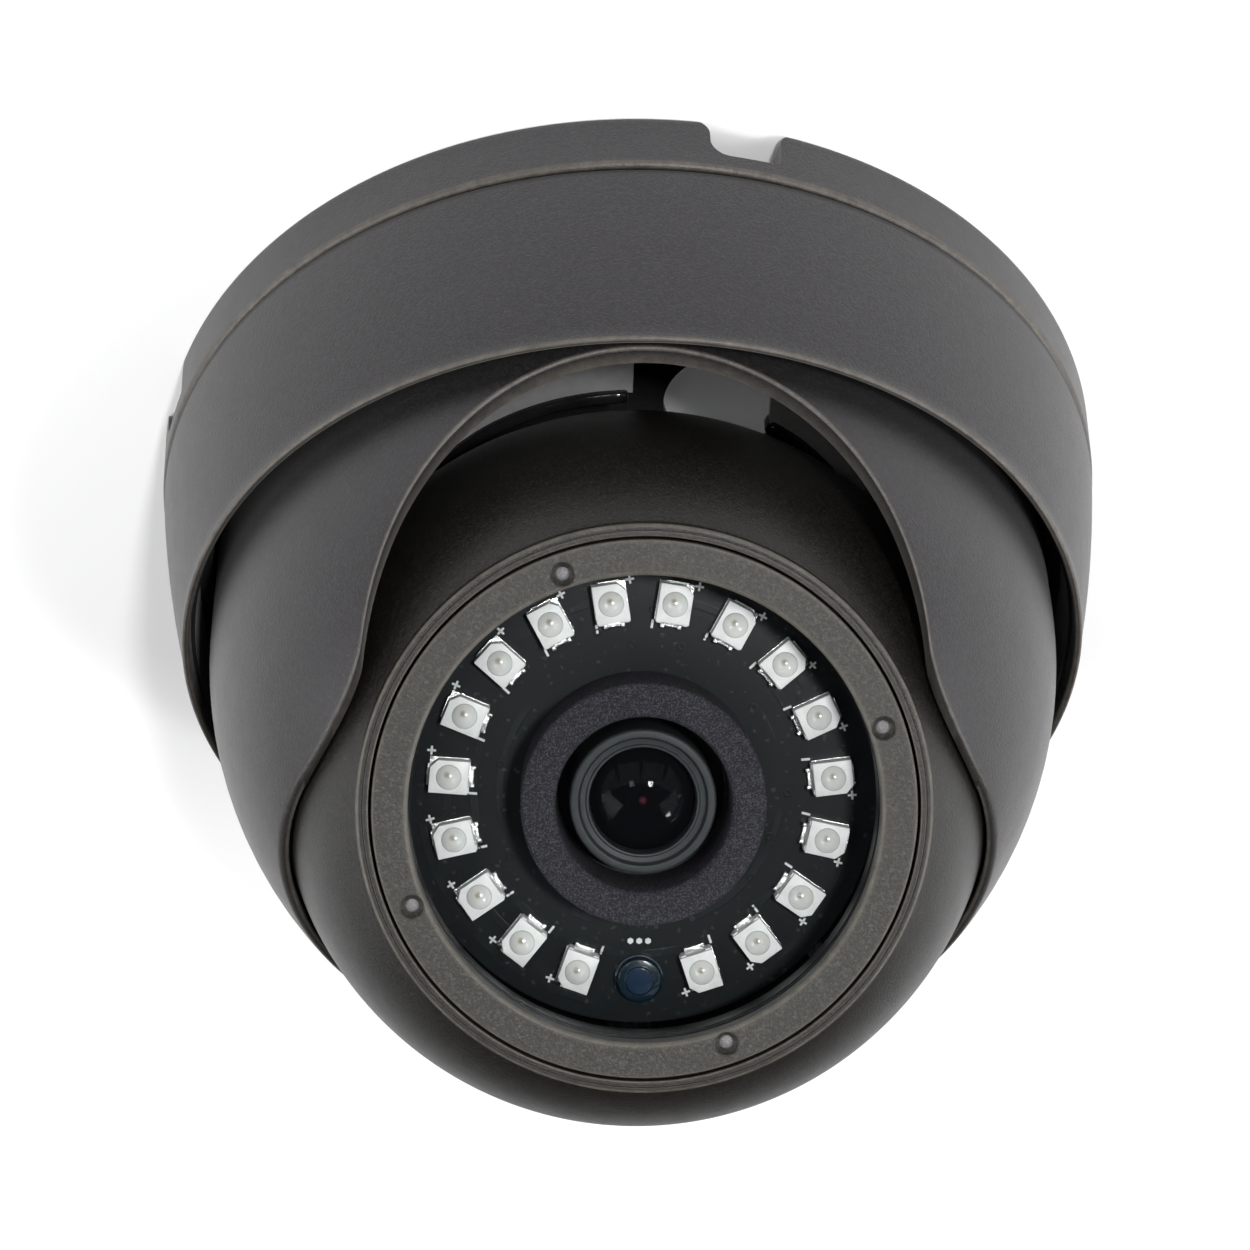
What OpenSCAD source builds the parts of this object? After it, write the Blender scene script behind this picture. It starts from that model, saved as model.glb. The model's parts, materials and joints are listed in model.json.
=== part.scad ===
// Dome security camera: a hollow metal base, a twist-on trim ring, a turning cover with a
// U-shaped slot, and a ball that carries the lens and the infrared lamp board.
// The flat mounting face lies on z = 0 and the camera looks away from it, leaning towards -Y.

/* [Base] */
// Outside diameter of the mounting face
base_d = 94; // [93.5:0.1:96]
// Height of the base's outer wall
base_h = 6.25; // [6:0.05:6.4]
// Depth of the open cable chamber under the base floor
chamber_h = 4.3; // [4.1:0.1:4.4]
// Thickness of the base floor
floor_t = 1.2; // [1:0.05:1.25]
// Width of each cable notch in the outer wall
notch_w = 6.6; // [5:0.1:8]
// Diameter of the circle of the mounting screws
screw_pcd = 66; // [64:0.5:68]
// Diameter of each mounting screw hole
screw_hole_d = 4.4; // [3.5:0.1:5]
// Diameter of the cable hole in the floor
cable_hole_d = 13; // [8:0.5:14]

/* [Trim ring] */
// Height of the trim ring's lower edge
ring_z0 = 6.75; // [6.6:0.05:6.9]
// Height of the trim ring's lip
ring_z1 = 25.7; // [25.4:0.1:26]
// Radius inside the lip
lip_r = 42.7; // [42.5:0.05:42.8]
// Angle covered by each bayonet lug
lug_angle = 34; // [20:1:36]

/* [Turning cover] */
// Outer radius of the cover's dome
cover_r = 40.7; // [40.6:0.02:40.72]
// Wall thickness of the cover
cover_t = 2; // [1.8:0.05:2.1]
// Height of the cover's flat rim
rim_z = 49.4; // [49:0.1:49.6]
// Radius of the slot that the ball looks through
slot_r = 24.85; // [24.5:0.05:25.2]
// Radius of the round shoulder between slot and rim
shoulder_r = 5.5; // [4:0.1:6]

/* [Ball] */
// Outer radius of the ball
ball_r = 33.5; // [33.3:0.02:33.56]
// Height of the tilt axis
ball_z = 37.8; // [37.7:0.02:37.9]
// Angle between the lens axis and the vertical
lens_tilt = 40.8; // [30:0.1:50]
// Distance from the tilt axis to the front face
face_h = 23.4; // [23.2:0.05:23.5]
// Outer radius of the collar round the front face
collar_r = 25.1; // [24.9:0.05:25.2]
// Radius of the clear opening in the front face
window_r = 20.6; // [20:0.1:20.8]

/* [Lamp board] */
// Number of equal places round the lamp board, one of them for the light sensor
lamp_places = 19; // [13:2:21]
// Radius of the circle of lamps
lamp_ring_r = 17.3; // [17:0.05:17.4]
// Radial length of a lamp body
lamp_l = 3.5; // [3:0.1:3.6]
// Width of a lamp body
lamp_w = 3.0; // [2.5:0.1:3.2]
// Height of a lamp body
lamp_h = 1.9; // [1.2:0.1:2]

/* [Lens] */
// Radius of the lens barrel's thread
thread_r = 6; // [5.8:0.05:6]
// Radius of the lens barrel's head
lens_head_r = 6.5; // [6.3:0.05:6.8]
// Inner radius of the foam light shield
foam_ri = 7.75; // [7.6:0.05:8]
// Outer radius of the foam light shield
foam_ro = 10.84; // [10:0.05:11]

/* [Hidden] */
$fn = 96;
eps = 0.01;
base_r = base_d / 2;
base_wall_t = 2.5;
base_taper = 0.25;
base_edge_r = 0.6;
floor_z = chamber_h + floor_t;
notch_angles = [-11.6, 73.9];
notch_depth = 6;
notch_corner = 1.4;
screw_spacer_r = 4.5;
screw_angles = [90, 210, 330];
cable_x = -9.4;
cable_y = -16.5;
stop_r0 = 35.6;
stop_r1 = 37.6;
stop_w = 4;
stop_h = 4;

// bayonet between the base and the trim ring
lug_angles = [30, 150, 270];
neck_ri = 41.4;
neck_ro = 42.8;
neck_top = 12.6;
lug_ro = 44.1;
lug_z0 = 10.3;
lug_z1 = 12.2;
lug_stop_angle = 4;
lug_stop_gap = 1;
ring_bore_r = 44.5;
ring_lug_ri = 43.15;
ring_lug_z0 = 7.9;
ring_lug_z1 = 9.9;
ring_bore_top = 12.9;
flange_bore_r = 42.95;
shoulder_z = 15.3;
shoulder_top = 16.9;
shoulder_ri = 41.2;
upper_ri = 42.3;
lip_under = 23.6;
lip_drop = 0.3;
profile_steps = 12;

// outer profile of the trim ring: a straight cone with a slight belly
ring_r0 = 46.6;
ring_r1 = 43.45;
ring_belly = 0.33;
lip_edge_r = 0.75;
function ring_r(u) = ring_r0 + (ring_r1 - ring_r0) * u + 4 * ring_belly * u * (1 - u);

// running parts between base and cover
pan_pad_ri = 41.5;
pan_pad_ro = 42.7;
pan_pad_top = 13.1;
flange_z0 = 13.2;
flange_z1 = 14.8;
flange_r = 42.6;
seal_ri = 41.6;
seal_ro = 42.8;
seal_z0 = 14.85;
seal_z1 = 15.25;
cover_z = 25.2;
skirt_z = 9.8;
cover_ri = cover_r - cover_t;
ball_gap = 0.35;
slot_z = 48.8;

// yoke inside the cover
yoke_z0 = 9.8;
yoke_t = 1.2;
yoke_z1 = yoke_z0 + yoke_t;
yoke_ri = 23;
yoke_ro = 38.4;
yoke_gap_x0 = -12.8;
yoke_gap_x1 = 0.4;
yoke_gap_l = 32.6;
yoke_stop_drop = 2.6;
ear_x0 = 33.6;
ear_x1 = 35.4;
ear_half = 5.5;
ear_top = 42.2;
ear_clip_r = 38.35;
guard_ri = 21.9;
guard_ro = 23.4;
guard_z0 = 9.4;
guard_z1 = 11.8;
yoke_screw_r = 35.8;
yoke_screw_angles = [35, 90, 145, 215, 325];
yoke_boss_r = 3.2;
yoke_boss_top = 18;
screw_d = 2.4;
head_r = 2.1;
head_h = 1.2;
driver_l = 2.4;
driver_w = 0.6;
driver_depth = 0.7;
yoke_screw_l = 6;
ball_screw_l = 13;

// tilt pivots
pivot_r = 2;
pivot_bore_r = 2.05;
flat_x = 32.6;
washer_x0 = 32.65;
washer_x1 = 33.5;
washer_r = 4.3;
pin_x0 = 28.6;
pin_x1 = 35.3;
pin_boss_r = 3.2;
pin_head_r = 3;
pin_head_t = 1.9;

// ball shells, heights along the lens axis from the ball's centre
ball_t = 2.2;
part_h = -4.5;
gasket_t = 0.3;
back_d = 13;
back_lean = 8;
back_wall = 2;
rear_t = 2.6;
screw_seat_h = -9;
thread_bore_r = 24;
seat_h = 20;
front_plate_h = 17.9;
throat_r = 20.7;
collar_edge_r = 0.45;
ball_screw_r = 27;
ball_screw_angles = [90, 210, 330];
ball_boss_r = 2.6;
ball_boss_top = 14;
ball_screw_bore_top = 5;
pocket_r = 3.6;
post_r = 2.2;
post_bore_r = 0.9;
post_bore_top = 4;
board_hole = 17;
gasket_ro = 33;
gasket_ri = 31.1;
spigot_ro = 30.8;
spigot_ri = 29.4;
spigot_h = 0.9;

// front face stack
bezel_ro = 23.75;
bezel_step_r = 21.6;
bezel_lip_h = 21.75;
bezel_low_h = 20.1;
pit_r = 1;
pit_ring_r = 21.9;
pit_depth = 1.1;
pit_cone = 0.4;
pit_angles = [22.7, 109.6, 199.7, 289.5];
glass_h0 = 20.4;
glass_t = 1.3;
glass_r = 21.4;
window_seal_t = 0.35;
window_seal_ri = 20.8;
window_seal_ro = 21.3;
bezel_edge = 0.25;
window_edge = 0.35;

// lamp board stack
board_h = 12.6;
board_t = 1.2;
lamp_board_r = 21.5;
lamp_hole_r = 7.5;
lamp_step = 360 / lamp_places;
lamp_cut = 0.7;
lamp_dome_r = 1.15;
lamp_dome_h = 0.55;
lead_w = 1.9;
lead_l = 0.45;
lead_t = 0.7;
mark_w = 0.16;
mark_l = 0.8;
mark_t = 0.06;
plus_gap = 0.65;
minus_gap = 0.45;
sensor_r = 2;
sensor_foot_r = 2.25;
sensor_foot_h = 0.5;
sensor_h = 1.5;
spacer_r = 2;
spacer_ring_r = 18;
spacer_angles = [90, 210, 330];

// lens and main board stack
main_h = -4;
main_t = 1.2;
main_side = 38;
main_corner_r = 3;
board_hole_r = 1.1;
board_screw_r = 0.85;
board_screw_top = 3;
board_head_r = 1.7;
board_head_h = 1;
board_slot_l = 2;
board_slot_w = 0.4;
board_slot_depth = 0.5;
chip_side = 10;
chip_h = 1.2;
chip_gap = 0.3;
socket_l = 14;
socket_w = 5;
socket_h = 4.2;
socket_y = -14;
socket_wall = 0.8;
socket_depth = 3.2;
holder_side = 15;
holder_base_h = 3;
holder_r = 7.6;
holder_top = 7.5;
holder_bore_r = 6.06;
holder_pocket_h = 1.6;
light_path_r = 4;
filter_t = 0.8;
filter_seat = 1;
filter_gap = 0.05;
lens_low_h = 2;
lens_neck_h = 9.2;
lens_front_h = 18.6;
lens_edge = 0.3;
mouth_r = 5.6;
opening_r = 4.9;
tube_ri = 4.4;
seat_depth = 3;
front_curve_r = 9;
rear_element_t = 2;
filter_side = 9;
gland_r = 4.5;
gland_bore_r = 2.6;
gland_tip_r = 3.4;
gland_tip_l = 4;
gland_flange = 0.8;

// ---------- helpers ----------

module lens_frame() {
    translate([0, 0, ball_z]) rotate([lens_tilt, 0, 0]) children();
}

module tube(ro, ri, z0, z1) {
    translate([0, 0, z0]) difference() {
        cylinder(r = ro, h = z1 - z0);
        translate([0, 0, -1]) cylinder(r = ri, h = z1 - z0 + 2);
    }
}

module disc(r, z0, z1) {
    translate([0, 0, z0]) cylinder(r = r, h = z1 - z0);
}

// part of a tube between two angles, as one turned profile
module arc_block(ri, ro, z0, z1, angle) {
    rotate([0, 0, -angle / 2]) rotate_extrude(angle = angle)
        translate([ri, z0]) square([ro - ri, z1 - z0]);
}

// half a turned profile, with the quarter circle that rounds its outer upper corner
module round_corner(r, z, edge) {
    translate([r - edge, z - edge]) intersection() {
        circle(r = edge, $fn = 48);
        square(edge);
    }
}

module at_angles(list, r) {
    for (a = list) rotate([0, 0, a]) translate([r, 0, 0]) children();
}

// ---------- base ----------

module base_wall_profile() {
    top_r = base_r - base_taper;
    polygon([
        [base_r - base_wall_t, 0], [base_r, 0], [top_r, base_h - base_edge_r],
        [top_r - base_edge_r, base_h - base_edge_r], [top_r - base_edge_r, base_h],
        [base_r - base_wall_t, base_h]]);
    round_corner(top_r, base_h, base_edge_r);
}

// cable notch through the outer wall, pointing along +X, with rounded upper corners
module notch_cut() {
    corner = notch_corner;
    translate([base_r + 2, 0, 0]) rotate([0, -90, 0]) linear_extrude(notch_depth + 2) {
        translate([-1, -notch_w / 2]) square([chamber_h - corner + 1, notch_w]);
        translate([-1, -notch_w / 2 + corner]) square([chamber_h + 1, notch_w - 2 * corner]);
        for (s = [-1, 1]) translate([chamber_h - corner, s * (notch_w / 2 - corner)])
            circle(r = corner, $fn = 32);
    }
}

module base_plate() {
    color("#56524f") difference() {
        union() {
            rotate_extrude() base_wall_profile();
            disc(base_r - base_wall_t + eps, chamber_h, floor_z);
            rotate([0, 0, 90]) translate([stop_r0, -stop_w / 2, chamber_h])
                cube([stop_r1 - stop_r0, stop_w, stop_h]);
        }
        at_angles(screw_angles, screw_pcd / 2) disc(screw_hole_d / 2, -1, floor_z + 1);
        translate([cable_x, cable_y, 0]) disc(cable_hole_d / 2, -1, floor_z + 1);
        for (a = notch_angles) rotate([0, 0, -90 + a]) notch_cut();
    }
}

// tubes that carry the pull of the mounting screws past the open chamber
module screw_spacers() {
    color("#8d8b88") at_angles(screw_angles, screw_pcd / 2)
        tube(screw_spacer_r, screw_hole_d / 2, 0, chamber_h);
}

module bayonet_ring() {
    color("#4b4846") {
        tube(neck_ro, neck_ri, floor_z, neck_top);
        for (a = lug_angles) rotate([0, 0, a]) {
            arc_block(neck_ro - eps, lug_ro, lug_z0, lug_z1, lug_angle);
            rotate([0, 0, -lug_angle / 2 - lug_stop_angle / 2 - lug_stop_gap])
                arc_block(neck_ro - eps, lug_ro, ring_lug_z0, lug_z1, lug_stop_angle);
        }
    }
}

module pan_friction_ring() {
    color("#1a1a1a") tube(pan_pad_ro, pan_pad_ri, neck_top, pan_pad_top);
}

// ---------- trim ring ----------

module trim_ring_profile() {
    top = ring_z1 - lip_edge_r;
    outer = [for (i = [0:profile_steps]) let (u = i / profile_steps)
        [ring_r(u), ring_z0 + (top - ring_z0) * u]];
    inner = [
        [lip_r, ring_z1 - lip_drop], [lip_r, lip_under], [upper_ri, lip_under],
        [upper_ri, shoulder_top], [shoulder_ri, shoulder_top], [shoulder_ri, shoulder_z],
        [flange_bore_r, shoulder_z], [flange_bore_r, ring_bore_top],
        [ring_bore_r, ring_bore_top], [ring_bore_r, ring_z0]];
    polygon(concat(outer, [[ring_r1 - lip_edge_r / 2, top], [lip_r, top]], inner));
    translate([(lip_r + ring_r1) / 2, top])
        circle(r = (ring_r1 - lip_r) / 2, $fn = 48);
}

module trim_ring() {
    color("#54514f") {
        rotate_extrude() trim_ring_profile();
        for (a = lug_angles) rotate([0, 0, a])
            arc_block(ring_lug_ri, ring_bore_r + eps, ring_lug_z0, ring_lug_z1, lug_angle);
    }
}

module cover_seal() {
    color("#181818") tube(seal_ro, seal_ri, seal_z0, seal_z1);
}

// ---------- turning cover ----------

// outline of the slot seen along Y: a circle that opens into the rim over two round shoulders
module slot_outline() {
    shoulder_z_c = rim_z - shoulder_r;
    drop = slot_z - shoulder_z_c;
    shoulder_x = sqrt(pow(slot_r + shoulder_r, 2) - drop * drop);
    translate([0, slot_z]) circle(r = slot_r, $fn = 128);
    for (m = [0, 1]) mirror([m, 0]) difference() {
        translate([slot_r - 3, shoulder_z_c]) square([shoulder_x - slot_r + 3, shoulder_r + 5]);
        translate([shoulder_x, shoulder_z_c]) circle(r = shoulder_r, $fn = 96);
    }
}

// right half of the cover's cross-section: dome, skirt and flange, hollowed for the ball
module cover_profile() {
    difference() {
        union() {
            intersection() {
                translate([0, cover_z]) circle(r = cover_r, $fn = 128);
                translate([0, cover_z]) square([cover_r + 1, rim_z - cover_z]);
            }
            translate([0, skirt_z]) square([cover_r, cover_z - skirt_z]);
            translate([0, flange_z0]) square([flange_r, flange_z1 - flange_z0]);
        }
        translate([0, cover_z]) circle(r = cover_ri, $fn = 128);
        translate([0, skirt_z - 1]) square([cover_ri, cover_z - skirt_z + 1]);
        translate([0, ball_z]) circle(r = ball_r + ball_gap, $fn = 128);
        translate([-base_d, 0]) square(base_d);
    }
}

module cover_body() {
    difference() {
        rotate_extrude() cover_profile();
        rotate([90, 0, 0]) linear_extrude(base_r) slot_outline();
    }
}

module turning_cover() {
    color("#524f4d") difference() {
        union() {
            cover_body();
            at_angles(yoke_screw_angles, yoke_screw_r) disc(yoke_boss_r, yoke_z1, yoke_boss_top);
        }
        at_angles(yoke_screw_angles, yoke_screw_r)
            disc(screw_d / 2, yoke_z1 - 1, yoke_boss_top - 2);
    }
}

module yoke() {
    color("#8f8f90") difference() {
        union() {
            tube(yoke_ro, yoke_ri, yoke_z0, yoke_z1);
            for (m = [0, 1]) mirror([m, 0, 0]) intersection() {
                translate([ear_x0, -ear_half, yoke_z0]) cube([ear_x1 - ear_x0, 2 * ear_half,
                    ear_top - yoke_z0]);
                union() {
                    translate([0, 0, cover_z]) sphere(r = ear_clip_r, $fn = 96);
                    disc(ear_clip_r, yoke_z0, cover_z);
                }
            }
            rotate([0, 0, -90]) translate([stop_r0, -stop_w / 2, yoke_z0 - yoke_stop_drop])
                cube([stop_r1 - stop_r0, stop_w, yoke_stop_drop + yoke_t / 2]);
        }
        translate([yoke_gap_x0, -yoke_gap_l, yoke_z0 - 1])
            cube([yoke_gap_x1 - yoke_gap_x0, yoke_gap_l, yoke_t + 2]);
        translate([0, 0, ball_z]) rotate([0, 90, 0])
            cylinder(r = pivot_bore_r, h = 4 * ear_x1, center = true);
        at_angles(yoke_screw_angles, yoke_screw_r) disc(screw_d / 2 + 0.2, yoke_z0 - 1, yoke_z1 + 1);
    }
}

// screws are drawn head down: the head below z0, the shank above it
module up_screw(shank_r, shank_h, z0) {
    difference() {
        union() {
            disc(head_r, z0 - head_h, z0);
            disc(shank_r, z0 - eps, z0 + shank_h);
        }
        for (a = [0, 90]) rotate([0, 0, a])
            translate([-driver_l / 2, -driver_w / 2, z0 - head_h - eps])
                cube([driver_l, driver_w, driver_depth]);
    }
}

module yoke_screws() {
    color("#a9a9ab") at_angles(yoke_screw_angles, yoke_screw_r)
        up_screw(screw_d / 2 - 0.05, yoke_screw_l, yoke_z0);
}

module cable_guard() {
    color("#0e0e0e") difference() {
        tube(guard_ro, guard_ri, guard_z0, guard_z1);
        tube(guard_ro + 1, yoke_ri - eps, yoke_z0, yoke_z1);
        translate([yoke_gap_x0, -yoke_ro, yoke_z0 - 2])
            cube([yoke_gap_x1 - yoke_gap_x0, yoke_ro, 6]);
    }
}

// ---------- ball ----------

module ball_half(r, h0, h1) {
    intersection() {
        circle(r = r, $fn = 128);
        translate([0, h0]) square([r + 1, h1 - h0]);
    }
}

module ball_zone(r, h0, h1) {
    rotate_extrude() ball_half(r, h0, h1);
}

module side_flats() {
    for (s = [-1, 1]) translate([s * (flat_x + 5), 0, 0])
        cube([10, 4 * washer_r, 4 * washer_r], center = true);
}

module collar_profile() {
    translate([thread_bore_r - 1, seat_h]) square([collar_r - thread_bore_r + 1,
        face_h - collar_edge_r - seat_h]);
    translate([thread_bore_r - 1, seat_h]) square([collar_r - collar_edge_r - thread_bore_r + 1,
        face_h - seat_h]);
    round_corner(collar_r, face_h, collar_edge_r);
}

module ball_front_profile() {
    difference() {
        union() {
            ball_half(ball_r, part_h, face_h - 0.6);
            collar_profile();
        }
        ball_half(ball_r - ball_t, part_h - 1, front_plate_h);
        translate([0, front_plate_h - 1]) square([throat_r, face_h]);
        translate([0, seat_h]) square([thread_bore_r, face_h]);
    }
}

module ball_front() {
    color("#504d4b") lens_frame() difference() {
        union() {
            rotate_extrude() ball_front_profile();
            at_angles(ball_screw_angles, ball_screw_r) disc(ball_boss_r, part_h, ball_boss_top);
            for (x = [-1, 1], y = [-1, 1]) translate([x * board_hole, y * board_hole, 0])
                disc(post_r, main_h + main_t, front_plate_h + 0.5);
            for (a = [90, -90]) rotate([0, a, 0]) disc(pin_boss_r, pin_x0, flat_x + 0.2);
        }
        side_flats();
        rotate([0, 90, 0]) cylinder(r = pivot_bore_r, h = 4 * flat_x, center = true);
        at_angles(ball_screw_angles, ball_screw_r) disc(screw_d / 2, part_h - 1, ball_screw_bore_top);
        for (x = [-1, 1], y = [-1, 1]) translate([x * board_hole, y * board_hole, 0])
            disc(post_bore_r, main_h, post_bore_top);
    }
}

module ball_gasket() {
    color("#141414") lens_frame() difference() {
        tube(gasket_ro, gasket_ri, part_h - gasket_t, part_h);
        at_angles(ball_screw_angles, ball_screw_r) disc(screw_d / 2, part_h - 1, ball_screw_bore_top);
    }
}

// the ball's flat back leans, so that the ball still fills the cover's rim behind the lens
module back_frame() {
    rotate([-back_lean, 0, 0]) children();
}

module ball_rear() {
    color("#504d4b") lens_frame() difference() {
        union() {
            intersection() {
                back_frame() ball_zone(ball_r, -back_d, ball_r);
                disc(ball_r + 1, -ball_r, part_h - gasket_t);
            }
            tube(spigot_ro, spigot_ri, part_h - gasket_t - 1, part_h + spigot_h);
        }
        difference() {
            intersection() {
                back_frame() ball_zone(ball_r - rear_t, back_wall - back_d, ball_r);
                disc(ball_r, -ball_r, part_h - gasket_t + eps);
            }
            tube(spigot_ro + 0.2, spigot_ri, part_h - gasket_t - 1, part_h + 1);
            at_angles(ball_screw_angles, ball_screw_r) disc(pocket_r, -ball_r, part_h - gasket_t);
        }
        at_angles(ball_screw_angles, ball_screw_r) {
            disc(screw_d / 2 + 0.1, -ball_r, part_h + 2);
            disc(head_r + 0.3, -ball_r, screw_seat_h);
            disc(ball_boss_r + 0.4, part_h - gasket_t, part_h + 2);
        }
        back_frame() disc(gland_r, -ball_r, 1 - back_d + back_wall);
    }
}

module ball_screws() {
    color("#b0b0b2") lens_frame() at_angles(ball_screw_angles, ball_screw_r)
        up_screw(screw_d / 2 - 0.05, ball_screw_l, screw_seat_h);
}

module pivot_pins() {
    color("#b8b8ba") translate([0, 0, ball_z]) for (m = [0, 1]) mirror([m, 0, 0])
        rotate([0, 90, 0]) {
            disc(pivot_r, pin_x0 - 0.5, pin_x1);
            disc(pin_head_r, pin_x0 - pin_head_t - 0.1, pin_x0 - 0.1);
        }
}

module pivot_washers() {
    color("#e4e2da") translate([0, 0, ball_z]) for (m = [0, 1]) mirror([m, 0, 0])
        rotate([0, 90, 0]) tube(washer_r, pivot_bore_r, washer_x0, washer_x1);
}

// ---------- front face ----------

module bezel_profile() {
    polygon([
        [window_r, bezel_lip_h], [bezel_step_r, bezel_lip_h], [bezel_step_r, bezel_low_h],
        [bezel_ro, bezel_low_h], [bezel_ro, face_h - bezel_edge],
        [bezel_ro - bezel_edge, face_h], [window_r + window_edge, face_h],
        [window_r, face_h - window_edge]]);
}

module bezel_ring() {
    color("#57544e") lens_frame() difference() {
        rotate_extrude() bezel_profile();
        at_angles(pit_angles, pit_ring_r) {
            disc(pit_r, face_h - pit_depth + pit_cone, face_h + 1);
            translate([0, 0, face_h - pit_depth])
                cylinder(r1 = 0.05, r2 = pit_r, h = pit_cone + eps);
        }
    }
}

module window_seal() {
    color("#101010") lens_frame()
        tube(window_seal_ro, window_seal_ri, seat_h, seat_h + window_seal_t);
}

module window_glass() {
    color("#dfe8ea", 0.25) lens_frame() disc(glass_r, glass_h0, glass_h0 + glass_t);
}

module foam_shield() {
    color("#2b282e") lens_frame() tube(foam_ro, foam_ri, board_h, glass_h0 - 0.05);
}

// ---------- lamp board ----------

module lamp_board() {
    color("#0f1011") lens_frame() difference() {
        disc(lamp_board_r, board_h - board_t, board_h);
        disc(lamp_hole_r, board_h - board_t - 1, board_h + 1);
    }
}

// children are placed at each lamp; +X points outwards from the lens axis
module at_lamps() {
    for (i = [1:lamp_places - 1]) rotate([0, 0, 90 + i * lamp_step])
        translate([lamp_ring_r, 0, board_h]) children();
}

module lamp_bodies() {
    x = lamp_l / 2;
    y = lamp_w / 2;
    color("#ecebe6") lens_frame() at_lamps() linear_extrude(lamp_h)
        polygon([[-x, -y], [x - lamp_cut, -y], [x, lamp_cut - y], [x, y], [-x, y]]);
}

module lamp_domes() {
    ball = (lamp_dome_r * lamp_dome_r + lamp_dome_h * lamp_dome_h) / (2 * lamp_dome_h);
    color("#f3f1e8", 0.8) lens_frame() at_lamps() translate([0, 0, lamp_h]) intersection() {
        translate([0, 0, lamp_dome_h - ball]) sphere(r = ball, $fn = 48);
        disc(lamp_dome_r, 0, lamp_dome_h + 1);
    }
}

module lamp_leads() {
    color("#cfcfcc") lens_frame() at_lamps() for (s = [-1, 1])
        translate([s * (lamp_l + lead_l) / 2 - lead_l / 2, -lead_w / 2, 0])
            cube([lead_l, lead_w, lead_t]);
}

module mark_bar(angle) {
    rotate([0, 0, angle]) cube([mark_l, mark_w, mark_t], center = true);
}

module polarity_marks() {
    color("#d9d9d9") lens_frame() at_lamps() {
        translate([lamp_l / 2 - 0.1, -lamp_w / 2 - plus_gap, mark_t / 2]) {
            mark_bar(0);
            mark_bar(90);
        }
        translate([-lamp_l / 2 - 0.3, lamp_w / 2 + minus_gap, mark_t / 2]) mark_bar(0);
    }
}

module light_sensor() {
    color("#1d2a3a") lens_frame() rotate([0, 0, 90]) translate([lamp_ring_r, 0, board_h]) {
        disc(sensor_foot_r, 0, sensor_foot_h);
        disc(sensor_r, sensor_foot_h - eps, sensor_h);
    }
}

// ---------- boards and lens ----------

module board_spacers() {
    color("#c9c7bd") lens_frame() at_angles(spacer_angles, spacer_ring_r)
        disc(spacer_r, main_h + main_t, board_h - board_t);
}

module main_board() {
    side = main_side - 2 * main_corner_r;
    color("#14402a") lens_frame() difference() {
        union() {
            translate([-side / 2, -main_side / 2, main_h]) cube([side, main_side, main_t]);
            translate([-main_side / 2, -side / 2, main_h]) cube([main_side, side, main_t]);
            for (x = [-1, 1], y = [-1, 1]) translate([x * side / 2, y * side / 2, 0])
                disc(main_corner_r, main_h, main_h + main_t);
        }
        for (x = [-1, 1], y = [-1, 1]) translate([x * board_hole, y * board_hole, 0])
            disc(board_hole_r, main_h - 1, main_h + main_t + 1);
    }
}

module board_screws() {
    color("#b0b0b2") lens_frame() for (x = [-1, 1], y = [-1, 1])
        translate([x * board_hole, y * board_hole, 0]) difference() {
            union() {
                disc(board_head_r, main_h - board_head_h, main_h);
                disc(board_screw_r, main_h - eps, board_screw_top);
            }
            translate([-board_slot_l / 2, -board_slot_w / 2, main_h - board_head_h - eps])
                cube([board_slot_l, board_slot_w, board_slot_depth]);
        }
}

module image_sensor() {
    color("#2c2f36") lens_frame() translate([-chip_side / 2, -chip_side / 2, main_h + main_t])
        cube([chip_side, chip_side, chip_h]);
}

module signal_chip() {
    color("#17181a") lens_frame() translate([-chip_side / 2, 2, main_h - chip_h])
        cube([chip_side, chip_side, chip_h]);
}

module cable_socket() {
    color("#e8e4d6") lens_frame() translate([-socket_l / 2, socket_y, main_h - socket_h])
        difference() {
            cube([socket_l, socket_w, socket_h]);
            translate([socket_wall, socket_wall, -eps])
                cube([socket_l - 2 * socket_wall, socket_w - 2 * socket_wall, socket_depth]);
        }
}

module lens_holder() {
    low = main_h + main_t;
    color("#161616") lens_frame() difference() {
        union() {
            translate([-holder_side / 2, -holder_side / 2, low])
                cube([holder_side, holder_side, holder_base_h]);
            disc(holder_r, low, holder_top);
        }
        disc(holder_bore_r, low + holder_base_h, holder_top + 1);
        translate([-filter_side / 2, -filter_side / 2, low + holder_base_h - filter_seat])
            cube([filter_side, filter_side, filter_seat + eps]);
        translate([-chip_side / 2 - chip_gap, -chip_side / 2 - chip_gap, low - eps])
            cube([chip_side + 2 * chip_gap, chip_side + 2 * chip_gap, holder_pocket_h]);
        disc(light_path_r, low, low + holder_base_h);
    }
}

module ir_filter() {
    side = filter_side - 2 * filter_gap;
    seat = main_h + main_t + holder_base_h - filter_seat;
    color("#7d3a52", 0.6) lens_frame() translate([-side / 2, -side / 2, seat + filter_gap])
        cube([side, side, filter_t]);
}

// the barrel's inside steps down from the front opening to the lens seat
module lens_barrel() {
    color("#2e2c2e") lens_frame() rotate_extrude() polygon([
        [tube_ri, lens_low_h], [thread_r, lens_low_h], [thread_r, lens_neck_h],
        [lens_head_r, lens_neck_h], [lens_head_r, lens_front_h - lens_edge],
        [lens_head_r - lens_edge, lens_front_h], [mouth_r, lens_front_h],
        [mouth_r, lens_front_h - 0.5], [opening_r, lens_front_h - 0.8],
        [opening_r, lens_front_h - seat_depth], [tube_ri, lens_front_h - seat_depth]]);
}

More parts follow.
